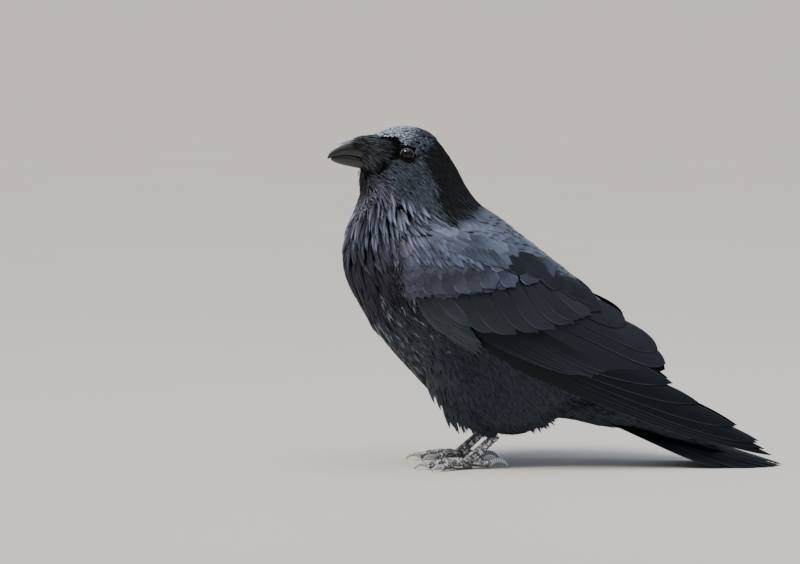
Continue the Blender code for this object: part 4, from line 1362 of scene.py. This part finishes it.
def bristles():
    """Bristle feathers that sweep forward over the nostrils, and those along the gape."""
    coat = Coat("nasal_bristle_feathers", BRISTLE, crisp=False)
    rng = np.random.default_rng(141)
    fine = {"kind": "hair", "rows": 7, "camber": 0.6}
    n = 800
    b = rng.uniform(-1.5, 1.5, n)
    a = rng.uniform(1.9, np.interp(np.abs(b), [0, 0.5, 1.2], [3.3, 3.8, 4.9]))
    coat.add(bristle_base, a, b, math.pi + rng.normal(0, 0.16, n), rng.normal(14, 3, n),
             rng.uniform(0.35, 0.65, n), lift=-2.6 + 0.9 * np.abs(b) + rng.normal(0, 0.3, n), rise=1.5,
             seed=142, bow=rng.normal(0, 0.05, n), **fine)
    n = 2100
    side = np.where(rng.random(n) < 0.5, -1, 1)
    b = side * rng.uniform(0.85, 2.75, n)
    a = 1.2 + 3.5 * rng.random(n) ** 0.9
    low = np.clip((np.abs(b) - 1.6) / 0.5, 0, 1)
    a = np.maximum(a, 2.5 * low)
    coat.add(gape_base, a, b, math.pi + side * rng.normal(0.08, 0.18, n),
             rng.normal(14, 3.5, n) * (1 - 0.5 * low), rng.uniform(0.35, 0.7, n),
             lift=-0.4 + rng.normal(0, 0.3, n), rise=1.6, seed=143, bow=rng.normal(0, 0.05, n), **fine)
    tract(coat, (-0.3, 2.2), (0.48, 0.76), (1.7, 1.2), (7, 10), (0.35, 0.6), 144, -0.6,
          (math.pi + 0.25, math.pi - 0.1), rise=1.8, jitter=0.18,
          keep=lambda a, q, at: (at[:, 2] > 308) & (at[:, 0] < -90), **fine)
    coat.finish_piece()


# ---------------------------------------------------------------- wings and tail


def fan(coat, surface, side, count, roots, tips, half, stack, lift, seed, jitter=0.01, **look):
    """A row of feathers from a smooth line of roots to a smooth line of tips, stacked in order."""
    rng = np.random.default_rng(seed + side)
    u = np.linspace(0, 1, count)
    root = along(roots, u * (len(roots) - 1))
    way = along(tips, u * (len(tips) - 1)) - root
    long = np.linalg.norm(way, axis=1) * rng.normal(1, jitter, count)
    heading = np.arctan2(way[:, 1], way[:, 0]) + rng.normal(0, jitter, count)
    wide = between(half, u) * rng.normal(1, 3 * jitter, count)
    coat.add(surface, *root.T, heading, long, wide, lift=lift + stack * np.arange(count), seed=seed,
             out=-side, **FLAT, **look)


def patch(coat, surface, side, corners, gap, length, half, heading, seed, locks=1, spread=0.0,
          shade=None, **look):
    """Scale-like feathers over a four-cornered patch, in staggered rows along the feathers' lie."""
    rng = np.random.default_rng(seed + side)
    corners = np.array(corners, float)
    edges = np.linalg.norm(np.roll(corners, -1, axis=0) - corners, axis=1)
    rows = max(2, round((edges[1] + edges[3]) / 2 / gap[0]))
    columns = max(2, round((edges[0] + edges[2]) / 2 / gap[1]))
    v, u = np.meshgrid(np.linspace(1, 0, rows), np.linspace(0, 1, columns), indexing="ij")
    u = u + 0.5 / columns * (np.arange(rows) % 2)[:, None]
    u, v = u.ravel() + rng.normal(0, 0.15 / columns, u.size), v.ravel() + rng.normal(0, 0.12 / rows, u.size)
    weights = ((1 - u) * (1 - v), u * (1 - v), u * v, (1 - u) * v)
    x, z = sum(weight * corner[:, None] for weight, corner in zip(weights, corners))
    if shade is not None:
        look["shade"] = shade(x, z)
    for lock, fan_out in strands(locks, spread):
        lie = between(heading, u) + rng.normal(0, 0.07, u.size) + fan_out
        long = between(length, u) * rng.normal(1, 0.08, u.size)
        wide = between(half, u) * rng.normal(1, 0.08, u.size)
        coat.add(surface, x, z, lie, long, wide, seed=seed + 7 * lock, out=-side, **FLAT, **look)


def wing_feathers(side, name):
    """The folded wing of one side, from the primaries below to the scapulars on top."""
    hand, arm = HAND_SIDE.surface(side), ARM_SIDE.surface(side)
    drop = 5.0 if side == RIGHT else 0.0  # the right wing's end lies a little lower, behind the left's
    big = {"section": "large", "rows": 26, "swept": 0.3}
    primary = dict(big, tilt=-0.3, bow=-0.012, camber=0.6, kind="pinion", shade=0.1)
    flight = Coat(f"flight_feathers_{name}", FLIGHT, strips=True)
    # Primaries: the two outermost are short, and the next reach the wing's tip.
    fan(flight, hand, side, 2, [(6, 128), (4, 131)], [(222, 42), (268, 23 - drop / 2)], (7, 7), 0.5, -3.0,
        201, **primary)
    fan(flight, hand, side, 8, [(0, 134), (4, 158)],
        [(305, 14.5), (301, 20 - drop), (280, 37 - drop), (205, 88 - drop)], (6.5, 11), 0.6, -2.0, 202,
        **primary)
    # Secondaries, then the tertials that close the wing above.
    fan(flight, arm, side, 8, [(-18, 158), (0, 166), (26, 172)],
        [(96, 110), (132, 101), (170, 96 - drop)], (8.5, 10), 0.5, -3.4, 203, tilt=-0.4, bow=-0.03,
        camber=0.6, kind="blade", shade=1.25, **big)
    flight.finish_piece()
    tertials = Coat(f"tertials_{name}", COVERT, strips=True)
    fan(tertials, arm, side, 4, [(44, 168), (50, 180), (60, 190)],
        [(188, 94 - drop), (198, 104 - drop), (189, 122 - drop), (155, 151)], (12.5, 11), 0.7, 0.3, 204,
        tilt=-0.4, bow=0.02, camber=0.7, kind="blade", shade=0.2, **big)
    tertials.finish_piece()
    mid = {"section": "large", "rows": 14}
    leading = Coat(f"primary_coverts_{name}", PRIMARY_COVERT)
    pointed = dict(mid, tilt=-0.35, camber=0.6, kind="point")
    fan(leading, arm, side, 3, [(-62, 188), (-56, 199)], [(-28, 141), (-14, 160)], (5, 5), 0.5, -0.6,
        211, bow=-0.06, **pointed)
    fan(leading, arm, side, 8, [(-58, 184), (-44, 196)], [(6, 121), (8, 131), (-2, 146), (-6, 157)],
        (5.2, 6.5), 0.45, -1.4, 212, bow=-0.05, **pointed)
    leading.finish_piece()
    greater = Coat(f"greater_coverts_{name}", COVERT)
    closed = dict(mid, camber=0.7, kind="round")
    fan(greater, arm, side, 8, [(-48, 194), (-20, 198), (26, 203), (58, 206)],
        [(-4, 160), (18, 149), (52, 145), (86, 150), (112, 158)], (12.5, 12.5), 0.5, -0.4, 213,
        tilt=-0.6, bow=-0.045, **closed)
    fan(greater, arm, side, 1, [(60, 205), (62, 206)], [(117, 160), (118, 160)], (8, 8), 0.5, 3.6, 215,
        tilt=-0.4, bow=0.03, **closed)
    greater.finish_piece()
    lesser = Coat(f"lesser_coverts_{name}", LESSER)
    fan(lesser, arm, side, 9, [(-54, 210), (-26, 212), (10, 214), (58, 218)],
        [(-38, 186), (-12, 186), (26, 191), (80, 200)], (10, 9.5), 0.2, 2.2, 214, tilt=-0.25,
        camber=0.5, kind="round", jitter=0.03, shade=0.6, **mid)
    # Painted light: the patch's sheen grows towards its top, where the light falls.
    patch(lesser, arm, side, [(-78, 240), (12, 228), (28, 206), (-72, 196)], (5.2, 5.4), (18, 20),
          (4.2, 5.2), (-1.15, -0.72), 221, lift=2.0, camber=0.4, section="large", rows=9, fray=0.1,
          shade=lambda x, z: 0.3 + (z - 198) / 60)
    lesser.finish_piece()
    bend = Coat(f"wing_bend_coverts_{name}", BEND)
    patch(bend, arm, side, [(-70, 246), (-10, 240), (16, 226), (-66, 229)], (7, 4.0), (20, 23), (2.3, 2.9),
          (-1.05, -0.68), 223, lift=2.4, rise=1.8, camber=1.3, section="large", kind="lance", rows=9)
    bend.finish_piece()
    scapulars = Coat(f"scapulars_{name}", MANTLE)
    fan(scapulars, arm, side, 9, [(-36, 238), (-10, 238), (14, 232)], [(-8, 224), (12, 216), (34, 208)],
        (3.0, 4.2), 0.2, 3.0, 234, tilt=-0.3, camber=1.0, bow=-0.05, kind="point", shade=0.5, **mid)
    fan(scapulars, arm, side, 8, [(-52, 243), (-6, 244)], [(-18, 231), (38, 218)], (5, 6), 0.12, 3.2, 231,
        tilt=-0.3, camber=0.7, bow=0.02, jitter=0.05, fray=0.15, shade=0.65, **mid)
    patch(scapulars, arm, side, [(-54, 256), (20, 236), (16, 222), (-44, 243)], (4.5, 5.5), (17, 26),
          (3.6, 5.8), (-0.42, -0.55), 232, lift=3.3, rise=0.9, camber=0.6, fray=0.15, section="large",
          rows=12, shade=lambda x, z: 0.85)
    scapulars.finish_piece()
    hind = Coat(f"hind_scapulars_{name}", SLATE)
    fan(hind, arm, side, 7, [(2, 236), (40, 226), (76, 199)], [(40, 213), (78, 194), (112, 177)], (8.5, 8),
        0.15, 3.4, 236, tilt=-0.3, camber=0.6, bow=0.02, kind="round", jitter=0.03, **mid)
    fan(hind, arm, side, 3, [(70, 192), (80, 198)], [(124, 162), (130, 162), (128, 168)], (7, 8), 0.4,
        3.4, 235, tilt=-0.2, camber=0.6, bow=0.03, fray=0.3, kind="point", **mid)
    hind.finish_piece()
    shoulder = Coat(f"shoulder_feathers_{name}", BREAST)
    patch(shoulder, arm, side, [(-98, 246), (-66, 250), (-66, 184), (-88, 178)], (6, 2.8), (20, 20),
          (1.7, 2.0), (-1.5, -1.2), 241, kind="lance", rows=7, lift=-1.4, rise=2.4, fray=0.4)
    shoulder.finish_piece()
    down = Coat(f"wing_edge_down_{name}", CHIN, crisp=False)
    patch(down, arm, side, [(-83, 214), (-78, 214), (-75, 190), (-80, 190)], (5, 1.7), (7, 9), (0.55, 0.65),
          (-1.9, -1.1), 247, locks=2, spread=0.35, rows=6, lift=0.6, rise=2.6,
          shade=lambda x, z: 0.6, **HAIR)
    down.finish_piece()


def tail_feathers():
    """Twelve rectrices: the middle pair on top, each next one lower and further out."""
    coat = Coat("tail_feathers", FLIGHT, strips=True)
    for side in (LEFT, RIGHT):
        for number, (length, place) in enumerate(zip(RECTRIX_LENGTHS, RECTRIX_PLACES)):
            root = np.array([8.0, side * place * TAIL_ARC_ROOT / TAIL_ARC_END])
            way = np.array([length - 1.0, side * place]) - root
            coat.add(tail, root[:1], root[1:], np.arctan2(way[1:], way[:1]), np.linalg.norm(way), 10.5,
                     kind="pinion", rows=28, section="large", lift=-0.6 - 0.8 * number, rise=0.0,
                     tilt=side * 0.35, bow=-side * 0.006, shade=0.1, seed=240 + number,
                     metric=(1.0, 1.0), swept=0.3)
    coat.finish_piece()


# ---------------------------------------------------------------- the whole bird and its stage

skin()
eyes()
bill()
scute, horn = scale_finish(), claw_finish()
for foot_side in FEET:
    foot(foot_side, scute)
    claws(foot_side, horn)
bristles()
head_feathers()
body_feathers()
flank_feathers()
shank_feathers()
for wing_side, wing_name in SIDES:
    wing_feathers(wing_side, wing_name)
tail_feathers()


def aimed(name, data, where, aim):
    """Adds a light or a camera, which looks down its own -z, so that it points at a place."""
    made = placed(name, data)
    way = aim - where
    level = math.hypot(way[0], way[1])
    made.location = where
    made.rotation_euler = (math.atan2(level, -way[2]), 0.0, math.atan2(-way[0], way[1]))
    return made


FLOOR_SIZE = 240.0


def stage():
    """A plain pale floor, one soft key light from the upper left, a soft sky above, a dim surround."""
    bpy.ops.mesh.primitive_plane_add(size=FLOOR_SIZE, location=(0, 0, 0))
    floor = bpy.context.object
    floor.name = "floor"
    paper = Finish("paper_pale", Roughness=0.9)
    floor.data.materials.append(paper.coats(linear("#cbc8c2"), (paper.noise(2.0, 2.0), "#d2cfc9")))
    aim = np.array([-0.08, 0.0, 0.19])
    key, sky = bpy.data.lights.new("key", "SUN"), bpy.data.lights.new("sky", "AREA")
    key.angle, sky.size = math.radians(20), 1.8
    for light, where, power, colour in ((key, (-1.3, -0.7, 2.4), 3.5, "#fff4e6"),
                                        (sky, (0.2, -0.3, 2.2), 26.0, "#dfe8ff")):
        light.energy = power
        light.color = linear(colour)[:3]
        aimed(light.name, light, np.array(where), aim)
    world = bpy.data.worlds.new("studio")
    world.use_nodes = True
    background = world.node_tree.nodes["Background"].inputs
    background[0].default_value = linear("#cfd8e6")
    background[1].default_value = 0.55
    bpy.context.scene.world = world


VIEW_ELEVATION = math.radians(5)
VIEW_DISTANCE = 4000.0
VIEW_WIDTH = 840.0  # what the camera sees at the bird, in millimetres
VIEW_TARGET = np.array([-78.75, 0.0, 193.2])
SENSOR = 36.0


def camera():
    """A long lens, level with the bird's back, a little above it, square to its left side."""
    back = np.array([0.0, -math.cos(VIEW_ELEVATION), math.sin(VIEW_ELEVATION)])
    aim = (VIEW_TARGET + SHIFT) * MM
    lens = bpy.data.cameras.new("camera")
    lens.sensor_width = SENSOR
    lens.lens = SENSOR * VIEW_DISTANCE / VIEW_WIDTH
    bpy.context.scene.camera = aimed("camera", lens, aim + back * VIEW_DISTANCE * MM, aim)


stage()
camera()
